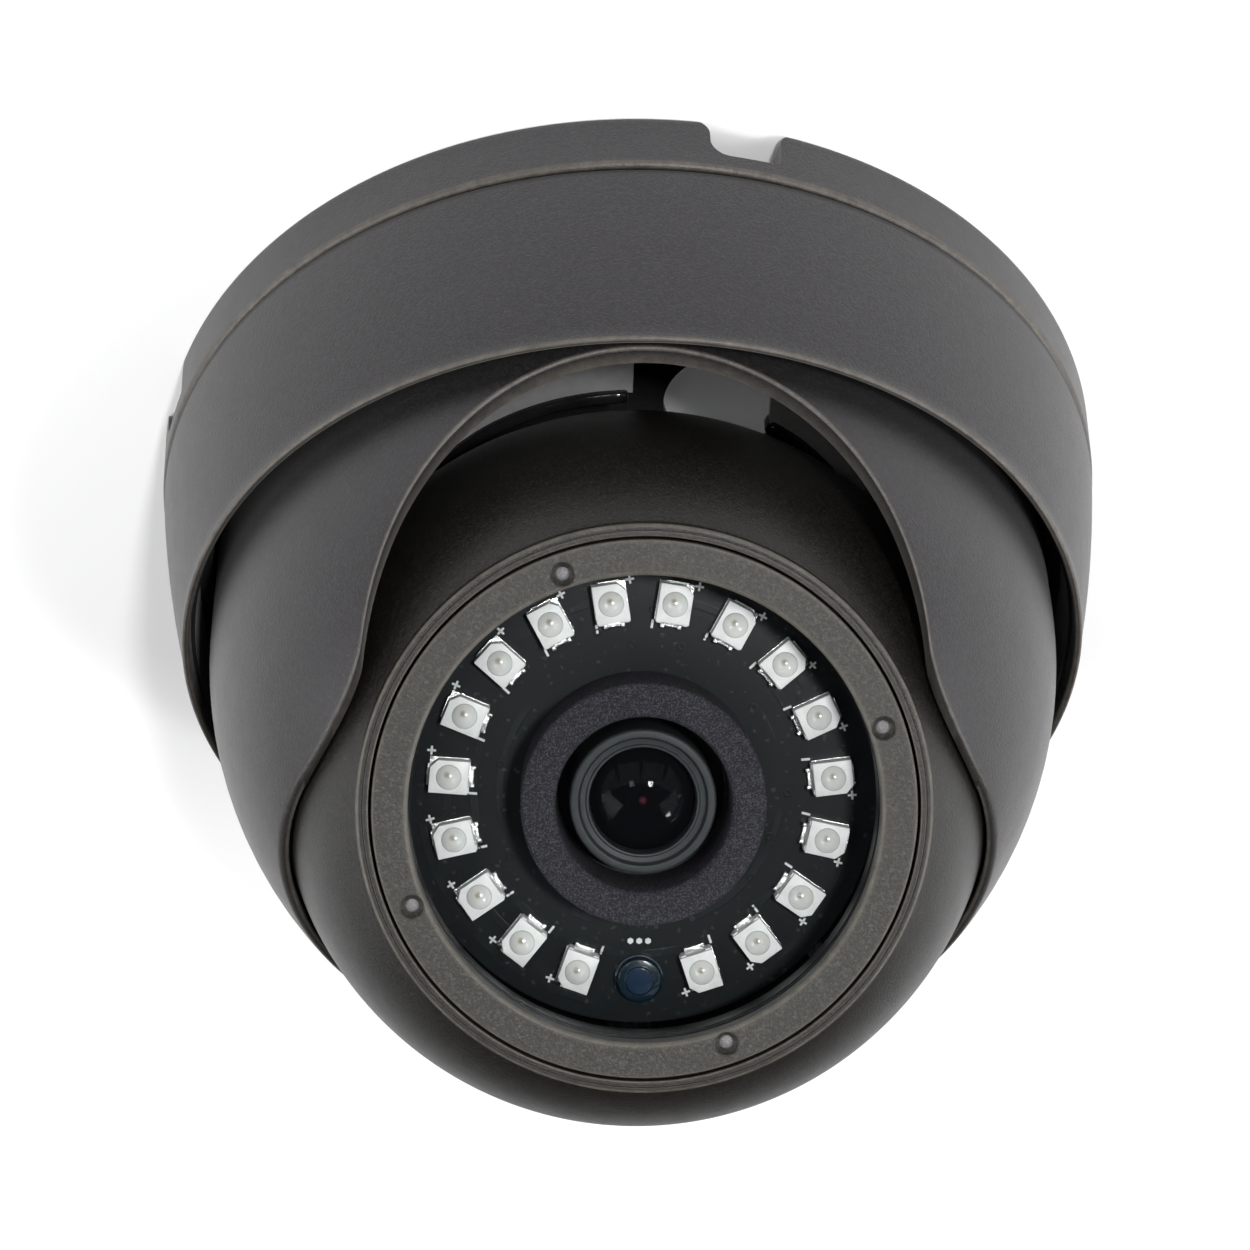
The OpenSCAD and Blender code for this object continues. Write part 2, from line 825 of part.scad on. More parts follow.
module front_element() {
    color("#151a22", 0.9) lens_frame() intersection() {
        disc(opening_r - 0.05, lens_front_h - seat_depth + 0.05, lens_front_h - 0.9);
        translate([0, 0, lens_front_h - 1 - front_curve_r]) sphere(r = front_curve_r);
    }
}

module rear_element() {
    color("#151a22", 0.9) lens_frame()
        disc(tube_ri - 0.05, lens_low_h + 0.3, lens_low_h + rear_element_t);
}

module cable_gland() {
    inner = back_wall - back_d;
    color("#151515") lens_frame() back_frame() difference() {
        union() {
            disc(gland_r - 0.02, -back_d - 0.5, inner + 0.5);
            disc(gland_r + gland_flange, inner, inner + 1);
            translate([0, 0, -back_d - gland_tip_l])
                cylinder(r1 = gland_tip_r, r2 = gland_r - 0.02, h = gland_tip_l - 0.5 + eps);
        }
        disc(gland_bore_r, -back_d - gland_tip_l - 1, inner + 2);
    }
}

base_plate();
screw_spacers();
bayonet_ring();
pan_friction_ring();
trim_ring();
cover_seal();
turning_cover();
yoke();
yoke_screws();
cable_guard();
ball_front();
ball_gasket();
ball_rear();
ball_screws();
pivot_pins();
pivot_washers();
bezel_ring();
window_seal();
window_glass();
foam_shield();
lamp_board();
lamp_bodies();
lamp_domes();
lamp_leads();
polarity_marks();
light_sensor();
board_spacers();
main_board();
board_screws();
image_sensor();
signal_chip();
cable_socket();
lens_holder();
ir_filter();
lens_barrel();
front_element();
rear_element();
cable_gland();
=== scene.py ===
"""Dome security camera: its looks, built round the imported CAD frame.

Everything is in metres in the row's frame: the mounting face lies on z = 0, +Z points out of it,
and the lens leans towards -Y. Outlines are (radius, height) pairs in millimetres, and a third
number is the radius of the fillet on that corner.
"""
import json
import math
import random

import bmesh
import bpy
from mathutils import Matrix, Vector


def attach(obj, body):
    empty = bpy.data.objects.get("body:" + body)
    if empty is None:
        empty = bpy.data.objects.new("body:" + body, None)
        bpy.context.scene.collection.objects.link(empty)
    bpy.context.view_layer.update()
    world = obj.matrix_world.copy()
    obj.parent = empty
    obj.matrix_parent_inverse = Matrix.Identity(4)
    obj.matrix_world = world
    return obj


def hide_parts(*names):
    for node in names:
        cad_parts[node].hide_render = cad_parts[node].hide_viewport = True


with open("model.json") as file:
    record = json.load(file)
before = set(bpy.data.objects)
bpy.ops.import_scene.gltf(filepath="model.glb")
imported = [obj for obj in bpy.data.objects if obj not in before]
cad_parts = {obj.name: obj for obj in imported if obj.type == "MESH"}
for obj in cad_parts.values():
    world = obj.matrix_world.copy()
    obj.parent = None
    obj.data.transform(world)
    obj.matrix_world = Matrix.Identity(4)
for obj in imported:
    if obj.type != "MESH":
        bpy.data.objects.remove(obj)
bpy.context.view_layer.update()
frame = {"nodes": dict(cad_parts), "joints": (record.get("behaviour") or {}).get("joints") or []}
random.seed(7)

MM = 0.001
UPRIGHT = Matrix.Identity(4)
JOINTS = {joint["name"]: joint for joint in frame["joints"]}
BALL_CENTRE = Vector(JOINTS["ball_tilt"]["pos_m"])
LENS_AXIS = Vector(JOINTS["lens_focus"]["axis"]).normalized()
TILT_AXIS = Vector(JOINTS["ball_tilt"]["axis"]).normalized()
LENS = Matrix.Translation(BALL_CENTRE) @ Matrix(
    (TILT_AXIS, LENS_AXIS.cross(TILT_AXIS), LENS_AXIS)).transposed().to_4x4()


def span(node, place=UPRIGHT):
    """Smallest and largest radius and height of a CAD node about a frame's Z axis, in mm."""
    inverse = place.inverted()
    points = [inverse @ v.co / MM for v in frame["nodes"][node].data.vertices]
    radii = [math.hypot(p.x, p.y) for p in points]
    heights = [p.z for p in points]
    return min(radii), max(radii), min(heights), max(heights)


# ---------- driving sizes, in mm ----------

BASE_R = span("base_plate")[1]
BASE_H = 6.25
BASE_TOP_R = BASE_R - 0.25
WALL_IN_R = BASE_R - 2.5
CHAMBER_H = 4.3
FLOOR_TOP = 5.5
NOTCH_W = 6.6
NOTCH_NEAR_R, NOTCH_FAR_R = 1.9, 0.5
NOTCH_NEAR_MOUTH_R, NOTCH_FAR_MOUTH_R = 1.6, 1.2
NOTCH_FLARE = 1.12
NOTCH_ANGLES = (-11.6, 73.9)
SCREW_CIRCLE_R, SCREW_HOLE_R = 33.0, 2.2
SCREW_ANGLES = (90, 210, 330)
CABLE_HOLE_AT, CABLE_HOLE_R = (-9.4, -16.5), 6.5

RING_LIP_R, RING_FOOT_R, RING_Z0, RING_Z1 = 43.45, 46.6, 6.75, 25.7
RING_BELLY = 0.33
RING_STEPS = 24
RING_MOUTH_R, RING_MOUTH_Z = 42.7, 23.6
RING_BORE_R = 42.3
RING_LEDGE_R, RING_LEDGE_Z0, RING_LEDGE_Z1 = 41.2, 15.3, 16.9
RING_COUNTERBORE_R, RING_COUNTERBORE_Z = 42.95, 12.9
RING_SEAT_R = 44.5

COVER_R, COVER_IN_R, COVER_Z = 40.7, 38.7, 25.2
RIM_Z = 49.4
SLOT_R, SLOT_Z = 24.85, 48.8
SHOULDER_R = 5.5
SKIRT_Z, FLANGE_Z0, FLANGE_Z1, FLANGE_R = 9.8, 13.2, 14.8, 42.6
SLOT_STEPS, SHOULDER_STEPS, RIM_STEPS, COVER_ROWS = 72, 24, 72, 18
COVER_SOFT = 0.4

BALL_R = 33.5
BALL_IN_R = 31.3
BALL_Z = BALL_CENTRE.z / MM
BALL_CLEAR_R = BALL_R + 0.35
PARTING_H = -4.5
PARTING_GAP = 0.3
BACK_D, BACK_LEAN = 13.0, math.radians(8)
REAR_WALL, REAR_FLOOR, REAR_STEPS, REAR_COLUMNS = 2.6, 2.0, 16, 192
POCKET_CIRCLE_R, POCKET_R, POCKET_TOP = 27.0, 2.4, -9.0
GLAND_HOLE_R, GLAND_HOLE_TOP = 4.5, -5.0
FACE_H = span("bezel_ring", LENS)[3]
COLLAR_R = 25.1
COLLAR_IN_R = 24.0
SEAT_H, THROAT_R, PLATE_H = 20.0, 20.7, 17.9

BEZEL_IN_R, BEZEL_OUT_R, BEZEL_FOOT_H = span("bezel_ring", LENS)[:3]
BEZEL_LEDGE_R, BEZEL_LEDGE_H = 21.6, 21.75
GLASS_R, GLASS_H0, GLASS_H1 = span("window_glass", LENS)[1:]
FOAM_IN_R, FOAM_OUT_R, FOAM_H0, FOAM_H1 = span("foam_shield", LENS)
BOARD_IN_R, BOARD_R, BOARD_H0, BOARD_H = span("lamp_board", LENS)
BARREL_R, BARREL_H0, BARREL_H1 = span("lens_barrel", LENS)[1:]
BARREL_BORE_R, THREAD_R, THREAD_TOP = 4.4, 6.0, 9.2
ELEMENT_BULGE_R, ELEMENT_RIM_R = 9.0, 4.68
PIT_ANGLES = (22.7, 109.6, 199.7, 289.5)
PIT_RING_R, PIT_R, PIT_DEPTH = 21.9, 1.0, 1.1
LAMP_PLACES = 19
LAMP_RING_R = 17.3
LAMP_L, LAMP_W, LAMP_H, LAMP_CUT = 3.5, 3.0, 1.9, 0.7
LAMP_SEAT, LAMP_BEVEL, LAMP_SLACK = 0.12, 0.055, 2.5
DOME_R, DOME_H = 1.15, 0.55
DIE_AT = (0.12, -0.28)
MARK_H, MARK_BEVEL = 0.05, 0.02
SENSOR_MARK = 3.4
GUARD_R, GUARD_Z = 22.6, 10.4
GUARD_START, GUARD_END, GUARD_STEPS = -88.0, 236.0, 120

SMOOTH_BELOW = 32
FILLET_STEPS = 5
CUT_BEND = 40.0
FINE_COLUMNS = 256

CAMERA_TARGET = (0.65, 0.03, 19.84)
CAMERA_DISTANCE = 300.0
CAMERA_TURN = 2.6
CAMERA_RISE = 42.07
CAMERA_ROLL = 178.52
CAMERA_LENS = 87.97
CAMERA_SENSOR = 36
CAMERA_CLIP = (0.01, 10)

LIGHT_DISTANCE = 0.8
LIGHT_AIM = (0, 0, 0.035)
LIGHTS = (
    # name, azimuth and elevation in degrees, width and height in metres, then the power in watts
    # of the box at -X, on the picture's right, and of its mirror image on the left
    ("key", 14, 40, 0.07, 0.08, 3.4, 0.22),
    ("kicker", 74, 59, 0.05, 0.07, 1.0, 0),
    ("low", 15, 28, 0.34, 0.34, 0.34, 0.34),
    ("front", 45, 28, 0.34, 0.34, 0.35, 0.35),
    ("wing", 75, 28, 0.34, 0.34, 2.0, 2.0),
    ("side", 105, 28, 0.34, 0.34, 2.6, 1.8),
    ("edge", 90, 6, 0.34, 0.14, 0.35, 0.35),
    ("upper", 65, 50, 0.34, 0.34, 0.8, 1.7),
)
WORLD_COLOUR = (0.96, 0.97, 1.0, 1)
WORLD_LIGHT = 0.01

FLOOR_GLOW = 0.05
FLOOR_R, FLOOR_Z, FLOOR_SIDES = 0.62, -0.00003, 96


# ---------- mesh helpers ----------

def rounded(outline):
    """The outline's points, with each corner that names a fillet drawn as an arc."""
    points = []
    for i, (x, y, *fillet) in enumerate(outline):
        if not fillet:
            points.append(Vector((x, y)))
            continue
        here = Vector((x, y))
        back = (Vector(outline[i - 1][:2]) - here).normalized()
        ahead = (Vector(outline[(i + 1) % len(outline)][:2]) - here).normalized()
        half = back.angle(ahead) / 2
        centre = here + (back + ahead).normalized() * fillet[0] / math.sin(half)
        reach = fillet[0] / math.tan(half)
        start, end = here + back * reach - centre, here + ahead * reach - centre
        sweep = math.pi - 2 * half
        for k in range(FILLET_STEPS + 1):
            t = k / FILLET_STEPS
            points.append(centre + (start * math.sin((1 - t) * sweep)
                                    + end * math.sin(t * sweep)) / math.sin(sweep))
    return points


def arc(cx, cy, r, start, end, steps):
    """Points of an arc, angles in degrees."""
    return [(cx + r * math.cos(math.radians(start + (end - start) * k / steps)),
             cy + r * math.sin(math.radians(start + (end - start) * k / steps)))
            for k in range(steps + 1)]


def skin(mesh, rings, closed=True):
    """Faces between neighbouring rings of vertices. A ring of one vertex is a pole."""
    pairs = list(zip(rings, rings[1:] + rings[:1])) if closed else list(zip(rings, rings[1:]))
    for ring, after in pairs:
        count = max(len(ring), len(after))
        for i in range(count):
            j = (i + 1) % count
            corners = (ring[i % len(ring)], ring[j % len(ring)],
                       after[j % len(after)], after[i % len(after)])
            face = list(dict.fromkeys(corners))
            if len(face) > 2:
                mesh.faces.new(face)


def add_lathe(mesh, outline, place=UPRIGHT, columns=192):
    """Turns a closed outline about Z and adds it to the mesh."""
    rings = []
    for r, z in rounded(outline):
        if r < 1e-6:
            rings.append([mesh.verts.new(place @ Vector((0, 0, z * MM)))])
            continue
        turns = [2 * math.pi * i / columns for i in range(columns)]
        rings.append([mesh.verts.new(place @ Vector((r * MM * math.cos(a), r * MM * math.sin(a),
                                                     z * MM))) for a in turns])
    skin(mesh, rings)


def to_object(mesh, name, sharp=SMOOTH_BELOW):
    """A scene object from a bmesh, smooth except at edges sharper than the angle in degrees."""
    bmesh.ops.recalc_face_normals(mesh, faces=mesh.faces)
    data = bpy.data.meshes.new(name)
    mesh.to_mesh(data)
    mesh.free()
    data.shade_smooth()
    data.set_sharp_from_angle(angle=math.radians(sharp))
    obj = bpy.data.objects.new(name, data)
    bpy.context.scene.collection.objects.link(obj)
    return obj


def lathe(name, outline, place=UPRIGHT, columns=192):
    mesh = bmesh.new()
    add_lathe(mesh, outline, place, columns)
    return to_object(mesh, name)


def drill(radius, z0, z1, place, columns=64):
    """A round cutter about place's Z axis."""
    return lathe("drill", [(0, z0), (radius, z0), (radius, z1), (0, z1)], place, columns)


def cut(obj, cutters):
    """Cuts the objects in cutters out of obj and removes them."""
    for cutter in cutters:
        modifier = obj.modifiers.new("cut", "BOOLEAN")
        modifier.operation = "DIFFERENCE"
        modifier.solver = "EXACT"
        modifier.object = cutter
    graph = bpy.context.evaluated_depsgraph_get()
    data = bpy.data.meshes.new_from_object(obj.evaluated_get(graph))
    obj.modifiers.clear()
    obj.data = data
    data.shade_smooth()
    data.set_sharp_from_angle(angle=math.radians(SMOOTH_BELOW))
    for cutter in cutters:
        bpy.data.objects.remove(cutter)


def turned(place, angle, x=0, y=0, z=0):
    """A frame turned about place's Z axis and then moved along its own axes, in mm."""
    return place @ Matrix.Rotation(math.radians(angle), 4, "Z") @ Matrix.Translation(
        Vector((x, y, z)) * MM)


def piece(obj, body, slot, material, *nodes):
    """Gives a finished object its material and its body, and hides the CAD nodes it stands for.
    """
    obj.data.materials.clear()
    obj.data.materials.append(material)
    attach(obj, body)
    if nodes:
        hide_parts(*nodes)


# ---------- materials ----------

def new_material(name, colour, rough, metal=0.0, coat=0.0, coat_rough=0.1, level=0.5):
    """A material with one Principled shader, as the material, its node tree and the shader."""
    material = bpy.data.materials.new(name)
    material.use_nodes = True
    tree = material.node_tree
    tree.nodes.clear()
    output = tree.nodes.new("ShaderNodeOutputMaterial")
    shader = tree.nodes.new("ShaderNodeBsdfPrincipled")
    tree.links.new(shader.outputs["BSDF"], output.inputs["Surface"])
    shader.inputs["Base Color"].default_value = (*colour, 1)
    shader.inputs["Roughness"].default_value = rough
    shader.inputs["Metallic"].default_value = metal
    shader.inputs["Coat Weight"].default_value = coat
    shader.inputs["Coat Roughness"].default_value = coat_rough
    shader.inputs["Specular IOR Level"].default_value = level
    shader.inputs["IOR"].default_value = 1.5
    return material, tree, shader


def place_on_object(tree, scale=(1, 1, 1)):
    """Coordinates fixed to the object, stretched by scale."""
    coords = tree.nodes.new("ShaderNodeTexCoord")
    mapping = tree.nodes.new("ShaderNodeMapping")
    mapping.inputs["Scale"].default_value = scale
    tree.links.new(coords.outputs["Object"], mapping.inputs["Vector"])
    return mapping.outputs["Vector"]


def noise(tree, size_mm, detail=3.0, rough=0.55, where=None):
    """Soft noise from 0 to 1, with features of about size_mm."""
    node = tree.nodes.new("ShaderNodeTexNoise")
    node.inputs["Scale"].default_value = 1 / (size_mm * MM)
    node.inputs["Detail"].default_value = detail
    node.inputs["Roughness"].default_value = rough
    tree.links.new(where or place_on_object(tree), node.inputs["Vector"])
    return node.outputs["Fac"]


def specks(tree, size_mm):
    """A random value for each cell of a fine mosaic, as the flakes in a metallic paint."""
    node = tree.nodes.new("ShaderNodeTexVoronoi")
    node.inputs["Scale"].default_value = 1 / (size_mm * MM)
    tree.links.new(place_on_object(tree), node.inputs["Vector"])
    split = tree.nodes.new("ShaderNodeSeparateColor")
    tree.links.new(node.outputs["Color"], split.inputs["Color"])
    return split.outputs["Red"]


def stretch(tree, value, low, high, out_low=0.0, out_high=1.0):
    """Maps low to high onto out_low to out_high, and holds the ends."""
    node = tree.nodes.new("ShaderNodeMapRange")
    tree.links.new(value, node.inputs["Value"])
    for socket, number in (("From Min", low), ("From Max", high),
                           ("To Min", out_low), ("To Max", out_high)):
        node.inputs[socket].default_value = number
    return node.outputs["Result"]


def maths(tree, operation, a, b=0):
    """One sum on numbers or sockets."""
    node = tree.nodes.new("ShaderNodeMath")
    node.operation = operation
    for socket, value in zip(node.inputs, (a, b)):
        if isinstance(value, (int, float)):
            socket.default_value = value
        else:
            tree.links.new(value, socket)
    return node.outputs[0]


def blend_colour(tree, factor, a, b):
    """Mixes two colours, each a tuple or a socket."""
    node = tree.nodes.new("ShaderNodeMix")
    node.data_type = "RGBA"
    tree.links.new(factor, node.inputs["Factor"])
    colour_a, colour_b = node.inputs[6:8]
    for socket, value in ((colour_a, a), (colour_b, b)):
        if isinstance(value, tuple):
            socket.default_value = (*value, 1)
        else:
            tree.links.new(value, socket)
    return node.outputs[2]


def bump(tree, shader, height, depth_mm):
    """Relief of depth_mm on the shader's normal."""
    node = tree.nodes.new("ShaderNodeBump")
    node.inputs["Strength"].default_value = 1.0
    node.inputs["Distance"].default_value = depth_mm * MM
    tree.links.new(height, node.inputs["Height"])
    tree.links.new(node.outputs["Normal"], shader.inputs["Normal"])


def attribute(tree, name):
    node = tree.nodes.new("ShaderNodeAttribute")
    node.attribute_name = name
    return node.outputs["Fac"]


def paint(name, colour, rough=0.4, level=0.5, sheen=0.0, tint=(1, 1, 1, 1),
          fleck=2.0, flake_mm=0.2, texture_mm=0.055):
    """Satin flake paint: soft mottling, flakes of two sizes, a fine pebble, and rounded edges
    painted lighter, both as wear and as a painted highlight. The attribute "edge" rises to 1 on
    rounded edges, and "inside" rises to 1 where a painted shade turns the paint almost black."""
    material, tree, shader = new_material(name, colour, rough, coat=0.06, coat_rough=0.3,
                                          level=level)
    shader.inputs["Sheen Weight"].default_value = sheen
    shader.inputs["Sheen Roughness"].default_value = 0.45
    shader.inputs["Specular Tint"].default_value = tint
    darker = tuple(c * 0.82 for c in colour)
    lighter = tuple(c * (1 + fleck) for c in colour)
    # Painted highlight and wear: rounded edges take this much lighter colour.
    wear_and_highlight = (0.085, 0.076, 0.063)
    mottle = blend_colour(tree, stretch(tree, noise(tree, 9, 4), 0.3, 0.7), darker, colour)
    flakes = stretch(tree, specks(tree, flake_mm), 0.35, 1.0)
    clouds = stretch(tree, noise(tree, 0.35, 2, 0.7), 0.32, 0.62)
    flecked = blend_colour(tree, maths(tree, "MULTIPLY", flakes, clouds), mottle, lighter)
    patchy = stretch(tree, noise(tree, 1.2, 4, 0.65), 0.3, 0.65, 0.45, 0.95)
    rubbed_and_highlit = blend_colour(tree, maths(tree, "MULTIPLY", attribute(tree, "edge"), patchy),
                          flecked, wear_and_highlight)
    # Painted shade: where "inside" is 1 the paint turns almost black, as shade in gaps and
    # hollows.
    inside = attribute(tree, "inside")
    tree.links.new(blend_colour(tree, inside, rubbed_and_highlit, (0.003, 0.003, 0.003)),
                   shader.inputs["Base Color"])
    dull = stretch(tree, noise(tree, 2.5, 3), 0.3, 0.7, rough - 0.02, rough + 0.02)
    tree.links.new(maths(tree, "ADD", dull, maths(tree, "MULTIPLY", inside, 0.45)),
                   shader.inputs["Roughness"])
    pebble = maths(tree, "ADD", noise(tree, 0.2, 2, 0.6), maths(tree, "MULTIPLY", flakes, 0.5))
    bump(tree, shader, pebble, texture_mm)
    return material


def rubber(name, colour, rough=0.6, depth_mm=0.02):
    """Moulded rubber with a greyish bloom."""
    material, tree, shader = new_material(name, colour, rough)
    grey = tuple(c * 1.6 + 0.004 for c in colour)
    tree.links.new(blend_colour(tree, stretch(tree, noise(tree, 3), 0.35, 0.7), colour, grey),
                   shader.inputs["Base Color"])
    bump(tree, shader, noise(tree, 0.3), depth_mm)
    return material


def metal(name, colour, rough, grain_mm=(2.0, 0.05, 0.05), depth_mm=0.004):
    """Rolled or plated metal with fine drawn lines and faint stains."""
    material, tree, shader = new_material(name, colour, rough, metal=1.0)
    lines = noise(tree, 0.15, 3, 0.6, place_on_object(tree, grain_mm))
    stain = stretch(tree, noise(tree, 4, 4), 0.35, 0.75)
    dull = tuple(c * 0.72 for c in colour)
    tree.links.new(blend_colour(tree, stain, colour, dull), shader.inputs["Base Color"])
    tree.links.new(stretch(tree, lines, 0.3, 0.7, rough - 0.06, rough + 0.08),
                   shader.inputs["Roughness"])
    bump(tree, shader, lines, depth_mm)
    return material


def plastic(name, colour, rough, coat=0.0, grain_mm=0.5, depth_mm=0.01):
    """Moulded plastic with a faint change of shade and a fine grain."""
    material, tree, shader = new_material(name, colour, rough, coat=coat)
    shade = tuple(c * 0.86 for c in colour)
    clouds = stretch(tree, noise(tree, 1.4, 4), 0.35, 0.7)
    tree.links.new(blend_colour(tree, clouds, colour, shade), shader.inputs["Base Color"])
    tree.links.new(stretch(tree, noise(tree, 0.8), 0.3, 0.7, rough - 0.04, rough + 0.06),
                   shader.inputs["Roughness"])
    bump(tree, shader, noise(tree, grain_mm), depth_mm)
    return material


def board(name, colour):
    """Solder mask over faint copper: rings of track round the lens and small dust."""
    material, tree, shader = new_material(name, colour, 0.4, coat=0.05, coat_rough=0.15,
                                          level=0.15)
    track = tuple(c * 1.7 + 0.004 for c in colour)
    radius = attribute(tree, "radius")
    wave = maths(tree, "SINE", maths(tree, "MULTIPLY", radius, 2.6))
    broken = stretch(tree, noise(tree, 7, 2), 0.5, 0.6)
    tracks = maths(tree, "MULTIPLY", stretch(tree, wave, 0.55, 0.7), broken)
    dust = stretch(tree, specks(tree, 0.3), 0.97, 1.0)
    tinted = blend_colour(tree, maths(tree, "MULTIPLY", tracks, 0.5), colour, track)
    dusted = blend_colour(tree, maths(tree, "MULTIPLY", dust, 0.06), tinted, (0.5, 0.5, 0.5))
    tree.links.new(dusted, shader.inputs["Base Color"])
    bump(tree, shader, maths(tree, "ADD", tracks, maths(tree, "MULTIPLY", noise(tree, 0.3), 0.3)),
         0.02)
    return material


def clear_glass(name, tint):
    """Thin polished glass: clear straight on, with a soft reflection and faint smears."""
    material = bpy.data.materials.new(name)
    material.use_nodes = True
    tree = material.node_tree
    tree.nodes.clear()
    output = tree.nodes.new("ShaderNodeOutputMaterial")
    through = tree.nodes.new("ShaderNodeBsdfTransparent")
    through.inputs["Color"].default_value = (*tint, 1)
    gloss = tree.nodes.new("ShaderNodeBsdfGlossy")
    gloss.inputs["Color"].default_value = (0.9, 0.95, 1.0, 1)
    smears = stretch(tree, noise(tree, 6, 4), 0.4, 0.7, 0.0, 0.04)
    tree.links.new(smears, gloss.inputs["Roughness"])
    fresnel = tree.nodes.new("ShaderNodeFresnel")
    fresnel.inputs["IOR"].default_value = 1.4
    mixer = tree.nodes.new("ShaderNodeMixShader")
    tree.links.new(fresnel.outputs["Fac"], mixer.inputs["Fac"])
    tree.links.new(through.outputs["BSDF"], mixer.inputs[1])
    tree.links.new(gloss.outputs["BSDF"], mixer.inputs[2])
    tree.links.new(mixer.outputs["Shader"], output.inputs["Surface"])
    return material


HOUSING = paint("housing_paint", (0.0066, 0.006, 0.0063), level=0.44, sheen=0.085,
                tint=(0.98, 0.95, 1.0, 1))
BALL_PAINT = paint("ball_paint", (0.0066, 0.0058, 0.005), level=0.34)
BEZEL_PAINT = paint("bezel_paint", (0.0215, 0.0201, 0.0168), rough=0.5, level=0.42, fleck=1.6,
                    flake_mm=0.2, texture_mm=0.085)
YOKE_STEEL = plastic("yoke_steel", (0.32, 0.32, 0.32), 0.45, grain_mm=0.25, depth_mm=0.03)
ZINC = metal("zinc_plate", (0.6, 0.6, 0.6), 0.32)
# Pit tips: bare alloy, painted light grey also as the glint at the bottom of each pit.
BARE_AND_GLINT = plastic("bare_alloy_and_glint", (0.16, 0.16, 0.165), 0.28, grain_mm=0.25, depth_mm=0.12)
TIN = metal("tin_solder", (0.85, 0.85, 0.84), 0.18, (1, 1, 1), 0.05)
BLACK_RUBBER = rubber("black_rubber", (0.018, 0.018, 0.018))
GLOSS_RUBBER = rubber("gloss_rubber", (0.008, 0.008, 0.009), rough=0.14, depth_mm=0.006)
LAMP_BOARD = board("black_board", (0.0095, 0.0118, 0.013))
GREEN_BOARD = board("green_board", (0.01, 0.06, 0.03))
LAMP_WHITE = plastic("lamp_white", (0.95, 0.945, 0.925), 0.4)
INK = plastic("white_ink", (0.85, 0.86, 0.86), 0.6)
BLACK_PLASTIC = plastic("black_plastic", (0.02, 0.02, 0.02), 0.5)
NYLON = plastic("white_nylon", (0.75, 0.72, 0.65), 0.45)
CHIP = plastic("chip_package", (0.022, 0.022, 0.024), 0.55)


def foam_material():
    """Dark open foam, flecked by its cell walls."""
    material, tree, shader = new_material("foam", (0.045, 0.038, 0.05), 0.85, level=0.25)
    grain = noise(tree, 0.12, 4, 0.8)
    cells = specks(tree, 0.1)
    pale = stretch(tree, maths(tree, "MULTIPLY", grain, cells), 0.24, 0.5)
    tree.links.new(blend_colour(tree, pale, (0.03, 0.0275, 0.033), (0.1, 0.094, 0.112)),
                   shader.inputs["Base Color"])
    bump(tree, shader, maths(tree, "ADD", grain, cells), 0.09)
    return material


def dome_material():
    """Pearly cast dome with a brownish die seen off centre through it, and a painted shade
    darkening the cup towards the die's side.
    """
    material, tree, shader = new_material("lamp_dome", (0.6, 0.6, 0.56), 0.22, coat=1.0,
                                          coat_rough=0.06)
    radius = attribute(tree, "radius")
    die = stretch(tree, attribute(tree, "die"), 0.1, 0.32, 0.8, 0.0)
    # Painted shade: the cup is darkened towards the die's side.
    painted_cup_shade = stretch(tree, attribute(tree, "die"), 0.25, 1.1, 0.55, 0.0)
    rim = stretch(tree, radius, 0.88, 0.98, 0.0, 0.7)
    pearl = blend_colour(tree, stretch(tree, noise(tree, 0.5), 0.35, 0.65), (0.9, 0.89, 0.86),
                         (0.96, 0.955, 0.94))
    with_painted_shade = blend_colour(tree, painted_cup_shade, pearl, (0.62, 0.61, 0.55))
    with_rim = blend_colour(tree, rim, with_painted_shade, (0.5, 0.49, 0.46))
    tree.links.new(blend_colour(tree, die, with_rim, (0.24, 0.2, 0.1)),
                   shader.inputs["Base Color"])
    return material


def sensor_material():
    """Blue-black cast lens, paler at its heart."""
    material, tree, shader = new_material("sensor_lens", (0.008, 0.02, 0.045), 0.2, coat=0.6,
                                          coat_rough=0.05)
    radius = attribute(tree, "radius")
    tree.links.new(blend_colour(tree, stretch(tree, radius, 0.45, 0.75), (0.012, 0.03, 0.065),
                                (0.006, 0.018, 0.03)), shader.inputs["Base Color"])
    bump(tree, shader, noise(tree, 0.6), 0.02)
    return material


def barrel_material():
    """Black anodised alloy with fine turning marks."""
    material, tree, shader = new_material("barrel_alloy", (0.03, 0.032, 0.034), 0.45, level=0.3)
    turned_lines = maths(tree, "SINE", maths(tree, "MULTIPLY", attribute(tree, "radius"), 60.0))
    tree.links.new(blend_colour(tree, stretch(tree, noise(tree, 1.5), 0.3, 0.7),
                                (0.028, 0.03, 0.032), (0.038, 0.041, 0.043)),
                   shader.inputs["Base Color"])
    bump(tree, shader, turned_lines, 0.002)
    return material


def element_material():
    """Coated dark glass with a faint reddish glint painted at its centre, a painted reflection
    from inside the lens.
    """
    material, tree, shader = new_material("lens_element", (0.004, 0.004, 0.005), 0.03, level=0.06)
    radius = attribute(tree, "radius")
    # Painted reflection: a small reddish glint at the centre of the element.
    painted_glint = stretch(tree, radius, 0.0, 0.09, 1.0, 0.0)
    tree.links.new(blend_colour(tree, painted_glint, (0.004, 0.004, 0.005), (0.09, 0.02, 0.03)),
                   shader.inputs["Base Color"])
    bump(tree, shader, noise(tree, 3.0), 0.0008)
    return material


FOAM = foam_material()
DOME = dome_material()
SENSOR = sensor_material()
BARREL = barrel_material()
ELEMENT = element_material()
WINDOW = clear_glass("window_glass", (0.98, 0.99, 0.99))
FILTER = plastic("filter_glass", (0.3, 0.08, 0.15), 0.1, coat=1.0)


# ---------- attributes that materials read ----------

